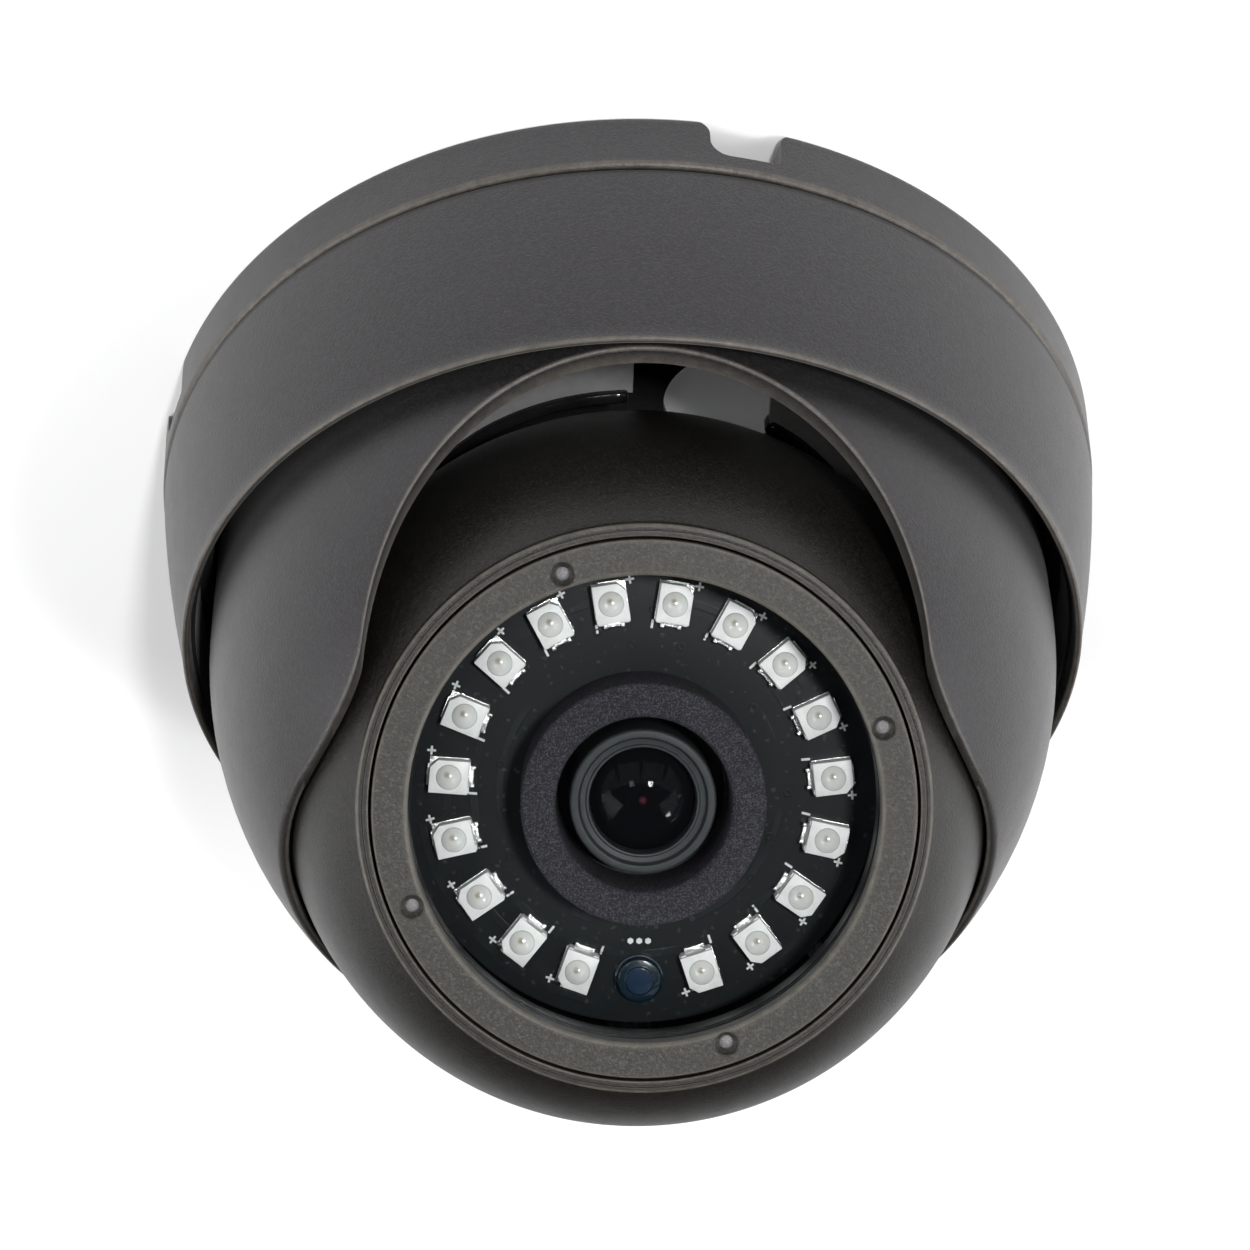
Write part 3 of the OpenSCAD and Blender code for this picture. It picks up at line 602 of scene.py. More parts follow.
def store(obj, name, values):
    """Stores one number for each vertex."""
    layer = obj.data.attributes.new(name, "FLOAT", "POINT")
    layer.data.foreach_set("value", values)


def mark_edges(obj, flat=7.0, full=16.0):
    """Stores how far each vertex lies on a convex rounded edge, from 0 to 1.
    A bend of CUT_BEND degrees or more is the rim of a cut and doesn't count."""
    mesh = bmesh.new()
    mesh.from_mesh(obj.data)
    values = []
    for vertex in mesh.verts:
        bend = max((math.degrees(e.calc_face_angle_signed(0)) for e in vertex.link_edges),
                   default=0)
        wear_and_highlight = min(max((bend - flat) / (full - flat), 0), 1)
        values.append(wear_and_highlight if bend < CUT_BEND else 0)
    mesh.free()
    store(obj, "edge", values)
    return obj


def mark_painted_shade(obj, test):
    """Marks the vertices that test, given radius and height in mm, picks for a painted shade:
    the paint there turns almost black, as shade in the gaps and hollows between the parts.
    """
    points = [v.co / MM for v in obj.data.vertices]
    store(obj, "inside", [float(test(math.hypot(p.x, p.y), p.z)) for p in points])


def mark_radius(obj, place, scale_mm=1.0):
    """Stores each vertex's distance from place's Z axis, divided by scale_mm."""
    inverse = place.inverted()
    points = [inverse @ v.co / MM for v in obj.data.vertices]
    store(obj, "radius", [math.hypot(p.x, p.y) / scale_mm for p in points])


# ---------- base ----------

def prism(name, section, place, x0, x1, flare_x, flare):
    """A section of (across, up) points drawn along X, growing by flare beyond flare_x."""
    mesh = bmesh.new()
    rings = []
    for x, grow in ((x0, 1.0), (flare_x, 1.0), (x1, flare)):
        rings.append([mesh.verts.new(place @ Vector((x, y * grow, z * grow)))
                      for y, z in section])
    skin(mesh, rings, closed=False)
    mesh.faces.new(rings[0])
    mesh.faces.new(rings[-1])
    return to_object(mesh, name)


def notch_cutter(angle):
    """The notch in the base's foot, its mouth flared and one upper corner rounder."""
    half, top = NOTCH_W / 2, CHAMBER_H - 0.05
    near, far = NOTCH_NEAR_R, NOTCH_FAR_R
    near_mouth, far_mouth = NOTCH_NEAR_MOUTH_R, NOTCH_FAR_MOUTH_R
    section = [(-half - far_mouth, -1.0)]
    section += arc(-half - far_mouth, far_mouth, far_mouth, -90, 0, 6)
    section += arc(-half + far, top - far, far, 180, 90, 5)
    section += arc(half - near, top - near, near, 90, 0, 8)
    section += arc(half + near_mouth, near_mouth, near_mouth, 180, 270, 8)
    section.append((half + near_mouth, -1.0))
    place = Matrix.Rotation(math.radians(angle - 90), 4, "Z") @ Matrix.Scale(MM, 4)
    return prism("notch_cutter", section, place, BASE_R - 6, BASE_R + 1.2, BASE_R - 0.35,
                 NOTCH_FLARE)


def build_base():
    # The two points on the side wall keep the lighter edge colour, painted as wear and as a
    # highlight, off it.
    wall = [(BASE_R + (BASE_TOP_R - BASE_R) * t, BASE_H * t) for t in (0.1, 0.85)]
    outline = [(0, CHAMBER_H), (WALL_IN_R, CHAMBER_H, 0.6), (WALL_IN_R, 0, 0.15),
               (BASE_R, 0, 0.25), *wall, (BASE_TOP_R, BASE_H, 0.65), (WALL_IN_R, BASE_H, 0.3),
               (WALL_IN_R, FLOOR_TOP, 0.2), (0, FLOOR_TOP)]
    base = lathe("base_shell", outline, columns=FINE_COLUMNS)
    cutters = [notch_cutter(angle) for angle in NOTCH_ANGLES]
    holes = [(turned(UPRIGHT, a, SCREW_CIRCLE_R), SCREW_HOLE_R) for a in SCREW_ANGLES]
    holes.append((turned(UPRIGHT, 0, *CABLE_HOLE_AT), CABLE_HOLE_R))
    cutters += [drill(radius, CHAMBER_H - 1, FLOOR_TOP + 1, place) for place, radius in holes]
    cut(base, cutters)
    # Painted shade on the base's top face inside the ring and on the floor within it.
    mark_painted_shade(base, lambda r, z: r < BASE_TOP_R - 0.75 and z > FLOOR_TOP - 0.1)
    piece(mark_edges(base), "base", "painted_housing", HOUSING, "base_plate")


# ---------- trim ring ----------

def build_ring():
    """The trim ring: a bellied wall outside, and the steps that hold the cover inside."""
    top = RING_Z1 - 0.9
    side = []
    for i in range(RING_STEPS + 1):
        u = i / RING_STEPS
        side.append((RING_FOOT_R + (RING_LIP_R - RING_FOOT_R) * u + 4 * RING_BELLY * u * (1 - u),
                     RING_Z0 + (top - RING_Z0) * u))
    side[0] = (*side[0], 0.25)
    outline = side + [
        (RING_LIP_R, RING_Z1, 0.37), (RING_MOUTH_R, RING_Z1, 0.36),
        (RING_MOUTH_R, RING_MOUTH_Z), (RING_BORE_R, RING_MOUTH_Z),
        (RING_BORE_R, RING_LEDGE_Z1), (RING_LEDGE_R, RING_LEDGE_Z1, 0.2),
        (RING_LEDGE_R, RING_LEDGE_Z0, 0.2), (RING_COUNTERBORE_R, RING_LEDGE_Z0),
        (RING_COUNTERBORE_R, RING_COUNTERBORE_Z), (RING_SEAT_R, RING_COUNTERBORE_Z),
        (RING_SEAT_R, RING_Z0, 0.2)]
    ring = lathe("ring_shell", outline, columns=FINE_COLUMNS)
    # Painted shade along the ring's foot, where it meets the base, and on its bore below the lip.
    mark_painted_shade(ring, lambda r, z: z < RING_Z0 + 0.3
                or r < RING_LIP_R - 0.1 and z < RING_Z1 - 1.2)
    piece(mark_edges(ring), "ring", "painted_housing", HOUSING, "trim_ring")


# ---------- turning cover ----------

def cover_edge():
    """Right half of the cover's upper edge, from the slot's lowest point to the back of the rim.
    Each entry is the point on the outer sphere and the point on the inner wall, in mm."""
    centre = Vector((0, 0, COVER_Z))
    shoulder_z = RIM_Z - SHOULDER_R
    shoulder_x = math.sqrt((SLOT_R + SHOULDER_R) ** 2 - (SLOT_Z - shoulder_z) ** 2)
    meet = math.degrees(math.atan2(shoulder_z - SLOT_Z, shoulder_x))
    outline = arc(0, SLOT_Z, SLOT_R, -90, meet, SLOT_STEPS)
    outline += arc(shoulder_x, shoulder_z, SHOULDER_R, 180 + meet, 90, SHOULDER_STEPS)[1:]
    edge = []
    for x, z in outline:
        outer = math.sqrt(COVER_R ** 2 - x * x - (z - COVER_Z) ** 2)
        inner = math.sqrt(COVER_IN_R ** 2 - x * x - (z - COVER_Z) ** 2)
        ball = BALL_CLEAR_R ** 2 - x * x - (z - BALL_Z) ** 2
        inner = max(inner, math.sqrt(max(ball, 0)))
        edge.append((Vector((x, -outer, z)), Vector((x, -inner, z))))
    start = math.degrees(math.atan2(edge[-1][0].x, -edge[-1][0].y))
    outer = math.sqrt(COVER_R ** 2 - (RIM_Z - COVER_Z) ** 2)
    inner = math.sqrt(BALL_CLEAR_R ** 2 - (RIM_Z - BALL_Z) ** 2)
    for k in range(1, RIM_STEPS + 1):
        a = math.radians(start + (180 - start) * k / RIM_STEPS)
        out = Vector((math.sin(a), -math.cos(a), 0))
        edge.append((out * outer + Vector((0, 0, RIM_Z)), out * inner + Vector((0, 0, RIM_Z))))
    return centre, edge


def inner_wall(point, centre):
    """The inner wall's point on the ray from the cover's centre through point."""
    if point.z < COVER_Z:
        flat = Vector((point.x, point.y, 0)).normalized()
        return flat * COVER_IN_R + Vector((0, 0, point.z))
    ray = (point - centre).normalized()
    to_ball = Vector((0, 0, BALL_Z)) - centre
    along = ray.dot(to_ball)
    reach = along + math.sqrt(BALL_CLEAR_R ** 2 - to_ball.length_squared + along * along)
    return centre + ray * max(COVER_IN_R, reach)


def outer_wall(point, centre):
    """The outer wall's point on the ray from the cover's centre through point."""
    if point.z < COVER_Z:
        return Vector((point.x, point.y, 0)).normalized() * COVER_R + Vector((0, 0, point.z))
    return centre + (point - centre).normalized() * COVER_R


def cover_column(outer, inner, tangent, centre):
    """One closed section of the cover: up the outside, over the edge and down the inside."""
    into = tangent.cross((outer - centre).normalized()).normalized()
    thick = (inner - outer).length
    soft = min(COVER_SOFT, thick * 0.45)
    band = [outer_wall(outer + into * d, centre) for d in (2.0, 1.4, 0.9, 0.6, soft)]
    inner_into = tangent.cross((inner - centre).normalized()).normalized()
    inner_band = [inner_wall(inner + inner_into * d, centre) for d in (soft, 0.7, 1.2, 2.0)]
    across = (inner - outer).normalized()

    def over(start, corner, end):
        return [start * (1 - t) ** 2 + corner * 2 * t * (1 - t) + end * t * t
                for t in (k / FILLET_STEPS for k in range(1, FILLET_STEPS + 1))]

    edge = over(band[-1], outer, outer + across * soft)
    edge += over(inner - across * soft, inner, inner_band[0])[:-1]
    low, high = FLANGE_Z1 + 0.3, band[0].z
    flat = Vector((band[0].x, band[0].y, 0)).normalized()
    side = [flat * r + Vector((0, 0, z)) for r, z in (
        (COVER_IN_R, SKIRT_Z), (COVER_R, SKIRT_Z), (COVER_R, FLANGE_Z0), (FLANGE_R, FLANGE_Z0),
        (FLANGE_R, FLANGE_Z1), (COVER_R, FLANGE_Z1))]
    for k in range(COVER_ROWS):
        z = low + (high - low) * k / COVER_ROWS
        r = math.sqrt(COVER_R ** 2 - max(z - COVER_Z, 0) ** 2)
        side.append(flat * r + Vector((0, 0, z)))
    inside = []
    flat = Vector((inner_band[-1].x, inner_band[-1].y, 0)).normalized()
    for k in range(1, COVER_ROWS):
        z = inner_band[-1].z + (SKIRT_Z + 1 - inner_band[-1].z) * k / COVER_ROWS
        r = COVER_IN_R
        if z > COVER_Z:
            r = math.sqrt(COVER_IN_R ** 2 - (z - COVER_Z) ** 2)
        ball = BALL_CLEAR_R ** 2 - (z - BALL_Z) ** 2
        r = max(r, math.sqrt(max(ball, 0)))
        inside.append(flat * r + Vector((0, 0, z)))
    return side + band + edge + inner_band + inside


def build_cover():
    """The turning cover, skinned over one closed section for each point of its edge."""
    centre, edge = cover_edge()
    last = len(edge) - 1
    columns = []
    for i, (outer, inner) in enumerate(edge):
        if i == 0:
            tangent = Vector((1, 0, 0))
        elif i == last:
            tangent = Vector((-1, 0, 0))
        else:
            tangent = (edge[i + 1][0] - edge[i - 1][0]).normalized()
        columns.append(cover_column(outer, inner, tangent, centre))
    flipped = [[Vector((-p.x, p.y, p.z)) for p in column] for column in columns[1:-1]]
    columns += reversed(flipped)
    mesh = bmesh.new()
    rings = [[mesh.verts.new(column[k] * MM) for column in columns]
             for k in range(len(columns[0]))]
    skin(mesh, rings)
    cover = to_object(mesh, "cover_shell", sharp=50)
    # Painted shade on the cover's flange and skirt and on the lower part of its inner wall.
    mark_painted_shade(cover, lambda r, z: z < FLANGE_Z1 + 1 or r < COVER_IN_R + 0.1 and z < COVER_Z)
    piece(mark_edges(cover, 8, 20), "cover", "painted_housing", HOUSING, "turning_cover")


# ---------- ball ----------

def build_ball_front():
    """The front of the ball, with the collar round the bezel and the groove in its face."""
    sphere = arc(0, 0, BALL_R, math.degrees(math.asin(PARTING_H / BALL_R)),
                 math.degrees(math.acos((COLLAR_R + 0.8) / BALL_R)), 48)
    collar_h = math.sqrt(BALL_R ** 2 - COLLAR_R ** 2)
    hollow_top = math.degrees(math.asin(PLATE_H / BALL_IN_R))
    hollow_low = math.degrees(math.asin(PARTING_H / BALL_IN_R))
    rim_h, groove_h = FACE_H - 0.08, FACE_H - 0.16
    outline = sphere + [(COLLAR_R, collar_h, 0.7), (COLLAR_R, rim_h, 0.3),
                        (COLLAR_R - 0.5, rim_h, 0.05), (COLLAR_R - 0.53, groove_h),
                        (COLLAR_R - 0.6, groove_h), (COLLAR_R - 0.64, FACE_H, 0.05),
                        (COLLAR_IN_R, FACE_H, 0.14), (COLLAR_IN_R, SEAT_H), (THROAT_R, SEAT_H),
                        (THROAT_R, PLATE_H)] + arc(0, 0, BALL_IN_R, hollow_top, hollow_low, 24)
    ball = lathe("ball_shell", outline, LENS, FINE_COLUMNS)
    piece(mark_edges(ball), "ball", "painted_housing", BALL_PAINT, "ball_front")


def rear_wall(radius, bottom, lead, size):
    """An arc from the flat back up to the parting plane, which leans by lead at this turn."""
    high = lead + math.asin((PARTING_H - PARTING_GAP) / radius / size)
    low = math.asin(-bottom / radius)
    return [(radius * math.cos(low + (high - low) * k / REAR_STEPS),
             radius * math.sin(low + (high - low) * k / REAR_STEPS))
            for k in range(REAR_STEPS + 1)]


def build_ball_rear():
    """The rear of the ball: turned about its leaning back, and cut off at the parting plane."""
    back = LENS @ Matrix.Rotation(-BACK_LEAN, 4, "X")
    rim = math.sqrt(BALL_R ** 2 - BACK_D ** 2)
    columns = []
    for i in range(REAR_COLUMNS):
        turn = 2 * math.pi * i / REAR_COLUMNS
        tilt_y = math.sin(BACK_LEAN) * math.sin(turn)
        lead = math.atan2(tilt_y, math.cos(BACK_LEAN))
        size = math.hypot(tilt_y, math.cos(BACK_LEAN))
        outside = rear_wall(BALL_R, BACK_D - 0.5, lead, size)
        inside = rear_wall(BALL_R - REAR_WALL, BACK_D - REAR_FLOOR, lead, size)
        section = [(0, -BACK_D), (rim - 1.0, -BACK_D), (rim - 0.35, -BACK_D + 0.12)]
        section += outside + inside[::-1] + [(0, REAR_FLOOR - BACK_D)]
        columns.append([back @ (Vector((r * math.cos(turn), r * math.sin(turn), z)) * MM)
                        for r, z in section])
    mesh = bmesh.new()
    rings = [[mesh.verts.new(column[k]) for column in columns] for k in range(len(columns[0]))]
    skin(mesh, rings)
    bmesh.ops.remove_doubles(mesh, verts=mesh.verts, dist=1e-7)
    rear = to_object(mesh, "ball_back")
    cutters = [drill(POCKET_R, -BALL_R, POCKET_TOP, turned(LENS, a, POCKET_CIRCLE_R), 48)
               for a in SCREW_ANGLES]
    cutters.append(drill(GLAND_HOLE_R, -BALL_R, GLAND_HOLE_TOP, back))
    cut(rear, cutters)
    piece(mark_edges(rear), "ball", "painted_housing", BALL_PAINT, "ball_rear")


# ---------- front face ----------

def build_bezel():
    # Two plain points on the face, as on the base's wall.
    outline = [(BEZEL_IN_R, BEZEL_LEDGE_H), (BEZEL_LEDGE_R, BEZEL_LEDGE_H),
               (BEZEL_LEDGE_R, BEZEL_FOOT_H),
               (BEZEL_OUT_R, BEZEL_FOOT_H), (BEZEL_OUT_R, FACE_H, 0.22),
               (BEZEL_OUT_R - 0.45, FACE_H), (BEZEL_IN_R + 0.65, FACE_H),
               (BEZEL_IN_R, FACE_H, 0.4)]
    bezel = lathe("bezel", outline, LENS, FINE_COLUMNS)
    pit = [(0, FACE_H - PIT_DEPTH), (0.8, FACE_H - 0.75), (PIT_R, FACE_H - 0.5),
           (PIT_R, FACE_H - 0.12), (PIT_R + 0.22, FACE_H + 0.1), (0, FACE_H + 0.1)]
    cut(bezel, [lathe("pit", pit, turned(LENS, a, PIT_RING_R), 40) for a in PIT_ANGLES])
    piece(mark_edges(bezel), "ball", "painted_bezel", BEZEL_PAINT, "bezel_ring")
    # The pit tips are painted lighter, as bare alloy and as a painted glint in each pit.
    tips = bmesh.new()
    low = FACE_H - PIT_DEPTH + 0.02
    tip = [(0, low), (0.82, low + 0.1), (0.5, low + 0.3, 0.1), (0, low + 0.42)]
    for a in PIT_ANGLES:
        add_lathe(tips, tip, turned(LENS, a, PIT_RING_R), 32)
    piece(to_object(tips, "pit_tips"), "ball", "painted_bezel", BARE_AND_GLINT)


def build_window():
    outline = [(0, GLASS_H0), (GLASS_R, GLASS_H0, 0.15), (GLASS_R, GLASS_H1, 0.15),
               (0, GLASS_H1)]
    piece(lathe("window", outline, LENS), "ball", "window_glass", WINDOW, "window_glass")


def build_foam():
    outline = [(FOAM_IN_R, FOAM_H0), (FOAM_OUT_R, FOAM_H0), (FOAM_OUT_R, FOAM_H1, 0.35),
               (FOAM_IN_R, FOAM_H1, 0.6)]
    piece(lathe("foam_ring", outline, LENS), "ball", "foam", FOAM, "foam_shield")


def build_board():
    """The lamp board, with a seeded scatter of plated holes on it."""
    outline = [(BOARD_IN_R, BOARD_H0), (BOARD_R, BOARD_H0), (BOARD_R, BOARD_H, 0.1),
               (BOARD_IN_R, BOARD_H, 0.1)]
    mask = lathe("lamp_board_disc", outline, LENS)
    mark_radius(mask, LENS)
    piece(mask, "ball", "black_board", LAMP_BOARD, "lamp_board")
    mesh = bmesh.new()
    for i in range(LAMP_PLACES):
        for offset, radius in ((0.32, 15.6 + 0.9 * math.sin(i * 2.3)),
                               (0.7, 13.0 + 0.6 * math.sin(i * 1.7))):
            if random.random() < 0.35:
                continue
            place = turned(LENS, 90 + (i + offset) * 360 / LAMP_PLACES, radius)
            via = [(0.17, BOARD_H - 0.05), (0.4, BOARD_H - 0.05), (0.4, BOARD_H + 0.05, 0.03),
                   (0.17, BOARD_H + 0.05, 0.03)]
            add_lathe(mesh, via, place, 20)
    piece(to_object(mesh, "board_vias"), "ball", "black_board", LAMP_BOARD)


# ---------- lamps ----------

def lamp_places():
    """A frame at each lamp, with +X pointing out from the lens axis and z = 0 on the board."""
    return [turned(LENS, 90 + i * 360 / LAMP_PLACES, LAMP_RING_R, 0, BOARD_H)
            for i in range(1, LAMP_PLACES)]


def add_block(mesh, place, section, z0, z1, bevel):
    """A straight-sided block over an outline of (x, y) points, with its upper edges bevelled."""
    low = [mesh.verts.new(place @ (Vector((x, y, z0)) * MM)) for x, y in section]
    high = [mesh.verts.new(place @ (Vector((x, y, z1)) * MM)) for x, y in section]
    count = len(section)
    sides = [mesh.faces.new((low[i], low[(i + 1) % count], high[(i + 1) % count], high[i]))
             for i in range(count)]
    top = mesh.faces.new(high)
    mesh.faces.new(low[::-1])
    edges = list(top.edges) + [e for face in sides for e in face.edges
                               if (e.verts[0] in low) != (e.verts[1] in low)]
    bmesh.ops.bevel(mesh, geom=list(set(edges)), offset=bevel * MM, segments=3, affect="EDGES",
                    profile=0.5)


def rectangle(x0, x1, y0, y1):
    return [(x0, y0), (x1, y0), (x1, y1), (x0, y1)]


def build_lamps():
    """Each lamp's case, dome and terminals, and the marks printed by it."""
    bodies, domes, leads, marks = bmesh.new(), bmesh.new(), bmesh.new(), bmesh.new()
    half_l, half_w = LAMP_L / 2, LAMP_W / 2
    body = [(-half_l, -half_w), (half_l - LAMP_CUT, -half_w), (half_l, -half_w + LAMP_CUT),
            (half_l, half_w), (-half_l, half_w)]
    ball = (DOME_R ** 2 + DOME_H ** 2) / (2 * DOME_H)
    low = math.degrees(math.acos(DOME_R / ball))
    dome = [(0, LAMP_H)] + [(r, z + LAMP_H) for r, z in arc(0, DOME_H - ball, ball, low, 90, 12)]
    radius, die = [], []
    inverse = LENS.inverted()
    for place in lamp_places():
        slack = random.uniform(-LAMP_SLACK, LAMP_SLACK)
        seat = place @ Matrix.Rotation(math.radians(slack), 4, "Z")
        add_block(bodies, seat, body, LAMP_SEAT, LAMP_H, LAMP_BEVEL)
        for side in (-1, 1):
            add_block(bodies, seat, rectangle(-half_l - 0.12, -half_l + 0.3, side * 1.15 - 0.25,
                                              side * 1.15 + 0.25), 0.1, LAMP_H - 0.35, 0.06)
        before = len(domes.verts)
        add_lathe(domes, dome, seat, 40)
        domes.verts.ensure_lookup_table()
        middle = inverse @ seat.translation / MM
        for v in domes.verts[before:]:
            p = inverse @ v.co / MM
            radius.append(math.hypot(p.x - middle.x, p.y - middle.y) / DOME_R)
            die.append(math.hypot(p.x - middle.x - DIE_AT[0], p.y - middle.y - DIE_AT[1])
                       / DOME_R)
        add_block(leads, seat, rectangle(-half_l - 0.5, -half_l + 0.1, -0.95, 0.95), 0, 0.5, 0.08)
        for side in (-1, 1):
            x = random.uniform(-0.06, 0.06) - half_l - 0.42
            add_block(leads, seat, rectangle(x - 0.22, x + 0.28, side * 0.78 - 0.2,
                                             side * 0.78 + 0.2), 0, 0.85, 0.12)
        add_block(leads, seat, rectangle(half_l + 0.08, half_l + 0.26, -1.0, 1.0), 0, 0.9, 0.05)
        add_block(leads, seat, rectangle(-half_l, half_l + 0.06, -half_w - 0.07,
                                         half_w + 0.07), 0.1, 0.3, 0.03)
        plus = turned(place, 0, half_l, -half_w - 0.5)
        for a in (0, 90):
            add_block(marks, turned(plus, a), rectangle(-0.4, 0.4, -0.1, 0.1), 0, MARK_H,
                      MARK_BEVEL)
        minus = turned(place, 0, -half_l - 0.5, half_w + 0.1)
        add_block(marks, minus, rectangle(-0.4, 0.4, -0.11, 0.11), 0, MARK_H, MARK_BEVEL)
    over_sensor = turned(LENS, 90, LAMP_RING_R - SENSOR_MARK, 0, BOARD_H)
    for y in (-0.8, 0, 0.8):
        dot = arc(0, 0, 0.3, 0, 300, 5)
        add_block(marks, turned(over_sensor, 0, 0, y), dot, 0, MARK_H, MARK_BEVEL)
    piece(to_object(bodies, "lamp_cases"), "ball", "lamp_white", LAMP_WHITE, "lamp_bodies")
    shine = to_object(domes, "lamp_lenses")
    store(shine, "radius", radius)
    store(shine, "die", die)
    piece(shine, "ball", "lamp_clear", DOME, "lamp_domes")
    piece(to_object(leads, "lamp_terminals"), "ball", "tinned", TIN, "lamp_leads")
    piece(to_object(marks, "printed_marks"), "ball", "white_ink", INK, "polarity_marks")


def build_sensor():
    place = turned(LENS, 90, LAMP_RING_R, 0, BOARD_H)
    outline = [(0, 0), (2.25, 0), (2.25, 0.45, 0.1), (2.05, 0.5, 0.05), (2.0, 1.25, 0.2),
               (1.35, 1.3, 0.1), (1.2, 1.45, 0.1), (0, 1.5)]
    sensor = lathe("light_sensor_lens", outline, place, 96)
    mark_radius(sensor, place, 2.05)
    piece(sensor, "ball", "sensor_blue", SENSOR, "light_sensor")


# ---------- lens ----------

def build_lens():
    top = BARREL_H1
    outline = [(BARREL_BORE_R, BARREL_H0), (THREAD_R, BARREL_H0), (THREAD_R, THREAD_TOP),
               (BARREL_R, THREAD_TOP, 0.1),
               (BARREL_R, top, 0.3), (5.75, top, 0.12), (5.55, top - 0.5, 0.1),
               (5.1, top - 0.6, 0.05), (5.0, top - 0.4, 0.08), (4.8, top - 0.45, 0.08),
               (4.7, top - 1.2, 0.1), (4.7, top - 3), (BARREL_BORE_R, top - 3)]
    barrel = lathe("barrel", outline, LENS)
    mark_radius(barrel, LENS)
    piece(barrel, "lens", "black_alloy", BARREL, "lens_barrel")
    bulge, rim = ELEMENT_BULGE_R, ELEMENT_RIM_R
    face = [(r, z + top - 0.75 - bulge) for r, z in
            arc(0, 0, bulge, math.degrees(math.acos(rim / bulge)), 90, 16)]
    front = lathe("front_glass", [(0, top - 2.9), (rim, top - 2.9)] + face, LENS, 96)
    mark_radius(front, LENS, rim)
    piece(front, "lens", "lens_glass", ELEMENT, "front_element")


# ---------- cable guard ----------

def build_guard():
    """The rubber edging on the yoke's inner edge, with rounded ends at the yoke's gap."""
    section = [(p.x, p.y) for p in rounded([(-0.72, -1.15, 0.5), (0.78, -1.15, 0.5),
                                            (0.78, 1.25, 0.6), (-0.72, 1.25, 0.6)])]
    ends = [(0, 0.55), (0.35, 0.86), (0.9, 1.0)]
    tip = ends[-1][0]
    stations = [(GUARD_START + a, grow) for a, grow in ends]
    stations += [(GUARD_START + tip + (GUARD_END - GUARD_START - 2 * tip) * k / GUARD_STEPS, 1.0)
                 for k in range(1, GUARD_STEPS)]
    stations += [(GUARD_END - a, grow) for a, grow in reversed(ends)]
    mesh = bmesh.new()
    rings = []
    for angle, grow in stations:
        place = turned(UPRIGHT, angle, GUARD_R, 0, GUARD_Z)
        rings.append([mesh.verts.new(place @ (Vector((x * grow, 0, z * grow)) * MM))
                      for x, z in section])
    skin(mesh, rings, closed=False)
    mesh.faces.new(rings[0])
    mesh.faces.new(rings[-1])
    piece(to_object(mesh, "guard_edging", 60), "cover", "black_rubber", GLOSS_RUBBER,
          "cable_guard")


# ---------- CAD nodes that keep their shape ----------

KEPT = {
    HOUSING: ("bayonet_ring",),
    YOKE_STEEL: ("yoke",),
    ZINC: ("screw_spacers", "yoke_screws", "ball_screws", "pivot_pins", "board_screws"),
    BLACK_RUBBER: ("pan_friction_ring", "cover_seal", "ball_gasket", "window_seal",
                   "cable_gland"),
    NYLON: ("pivot_washers", "board_spacers", "cable_socket"),
    GREEN_BOARD: ("main_board",),
    CHIP: ("image_sensor", "signal_chip"),
    BLACK_PLASTIC: ("lens_holder",),
    FILTER: ("ir_filter",),
    ELEMENT: ("rear_element",),
}


def dress_kept_nodes():
    for material, names in KEPT.items():
        for name in names:
            node = frame["nodes"][name]
            node.data.materials.clear()
            node.data.materials.append(material)


build_base()
build_ring()
build_cover()
build_ball_front()
build_ball_rear()
build_bezel()
build_window()
build_foam()
build_board()
build_lamps()
build_sensor()
build_lens()
build_guard()
dress_kept_nodes()


# ---------- floor, camera and light ----------

def build_floor():
    """A pale paper disc just under the base."""
    mesh = bmesh.new()
    rim = arc(0, 0, FLOOR_R, 0, 360 - 360 / FLOOR_SIDES, FLOOR_SIDES - 1)
    mesh.faces.new([mesh.verts.new((x, y, FLOOR_Z)) for x, y in rim])
    floor = to_object(mesh, "floor")
    material, tree, shader = new_material("floor_paper", (0.9, 0.9, 0.9), 0.7, level=0.2)
    tree.links.new(blend_colour(tree, stretch(tree, noise(tree, 400, 3), 0.3, 0.7),
                                (0.92, 0.92, 0.92), (0.9, 0.9, 0.905)),
                   shader.inputs["Base Color"])
    shader.inputs["Emission Color"].default_value = (1.0, 1.0, 1.0, 1)
    shader.inputs["Emission Strength"].default_value = FLOOR_GLOW
    floor.data.materials.append(material)


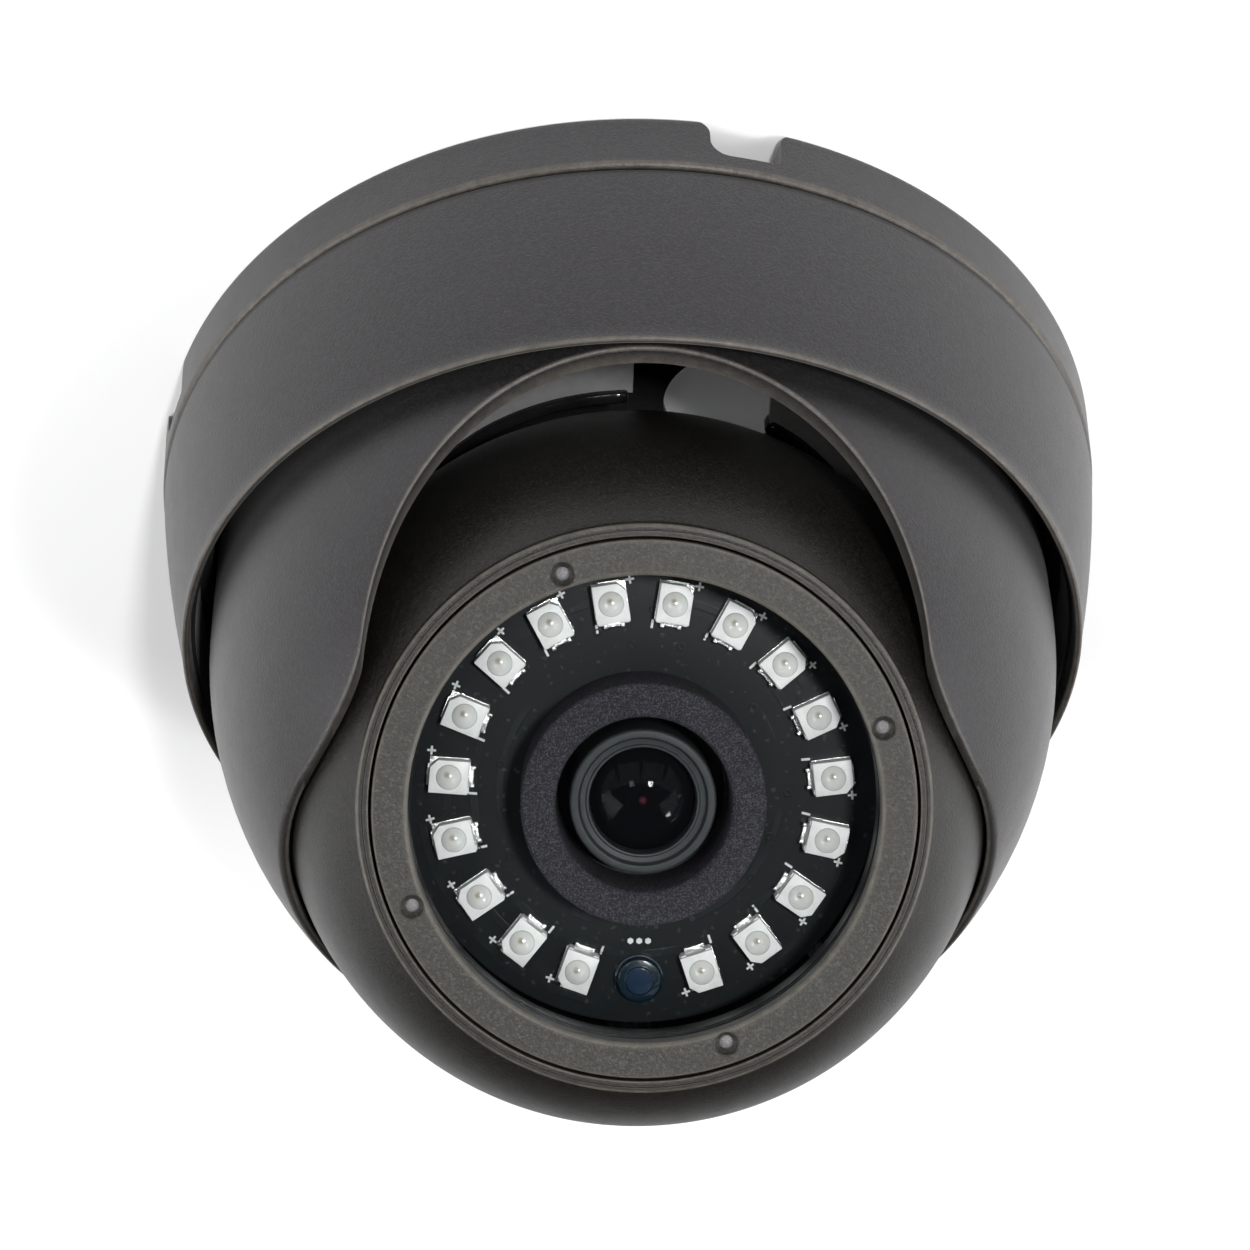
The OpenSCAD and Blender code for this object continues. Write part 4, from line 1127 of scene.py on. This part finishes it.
def build_camera():
    """The photographed view: from in front and above, rolled so that the base is at the top."""
    data = bpy.data.cameras.new("camera")
    data.sensor_width = CAMERA_SENSOR
    data.lens = CAMERA_LENS
    data.clip_start, data.clip_end = CAMERA_CLIP
    camera = bpy.data.objects.new("camera", data)
    bpy.context.scene.collection.objects.link(camera)
    target = Vector(CAMERA_TARGET) * MM
    turn = (Matrix.Rotation(math.radians(CAMERA_TURN), 4, "Z")
            @ Matrix.Rotation(math.radians(90 - CAMERA_RISE), 4, "X")
            @ Matrix.Rotation(math.radians(CAMERA_ROLL), 4, "Z"))
    camera.matrix_world = Matrix.Translation(target) @ turn @ Matrix.Translation(
        (0, 0, CAMERA_DISTANCE * MM))
    bpy.context.scene.camera = camera


def soft_light(name, azimuth, elevation, width, height, power):
    """A soft box that faces the ball. Azimuth 0 is in front (-Y), and 90 is at +X, which the
    rolled camera shows on the left."""
    data = bpy.data.lights.new(name, "AREA")
    data.shape = "RECTANGLE"
    data.size, data.size_y = width, height
    data.energy = power
    light = bpy.data.objects.new(name, data)
    bpy.context.scene.collection.objects.link(light)
    a, e = math.radians(azimuth), math.radians(elevation)
    out = Vector((math.sin(a) * math.cos(e), -math.cos(a) * math.cos(e), math.sin(e)))
    light.location = Vector(LIGHT_AIM) + out * LIGHT_DISTANCE
    light.rotation_mode = "QUATERNION"
    light.rotation_quaternion = out.to_track_quat("Z", "Y")


def build_lights():
    """The soft boxes, and a world that the camera sees as white but that lights almost nothing,
    because a low view looks past the edge of the floor."""
    for name, azimuth, elevation, width, height, right, left in LIGHTS:
        soft_light(name + "_right", -azimuth, elevation, width, height, right)
        if left:
            soft_light(name + "_left", azimuth, elevation, width, height, left)
    world = bpy.data.worlds.new("studio")
    bpy.context.scene.world = world
    world.use_nodes = True
    background = world.node_tree.nodes["Background"]
    background.inputs["Color"].default_value = WORLD_COLOUR
    seen = world.node_tree.nodes.new("ShaderNodeLightPath")
    strength = maths(world.node_tree, "ADD", seen.outputs["Is Camera Ray"], WORLD_LIGHT)
    world.node_tree.links.new(strength, background.inputs["Strength"])
    bpy.context.scene.view_settings.view_transform = "Standard"


build_floor()
build_camera()
build_lights()
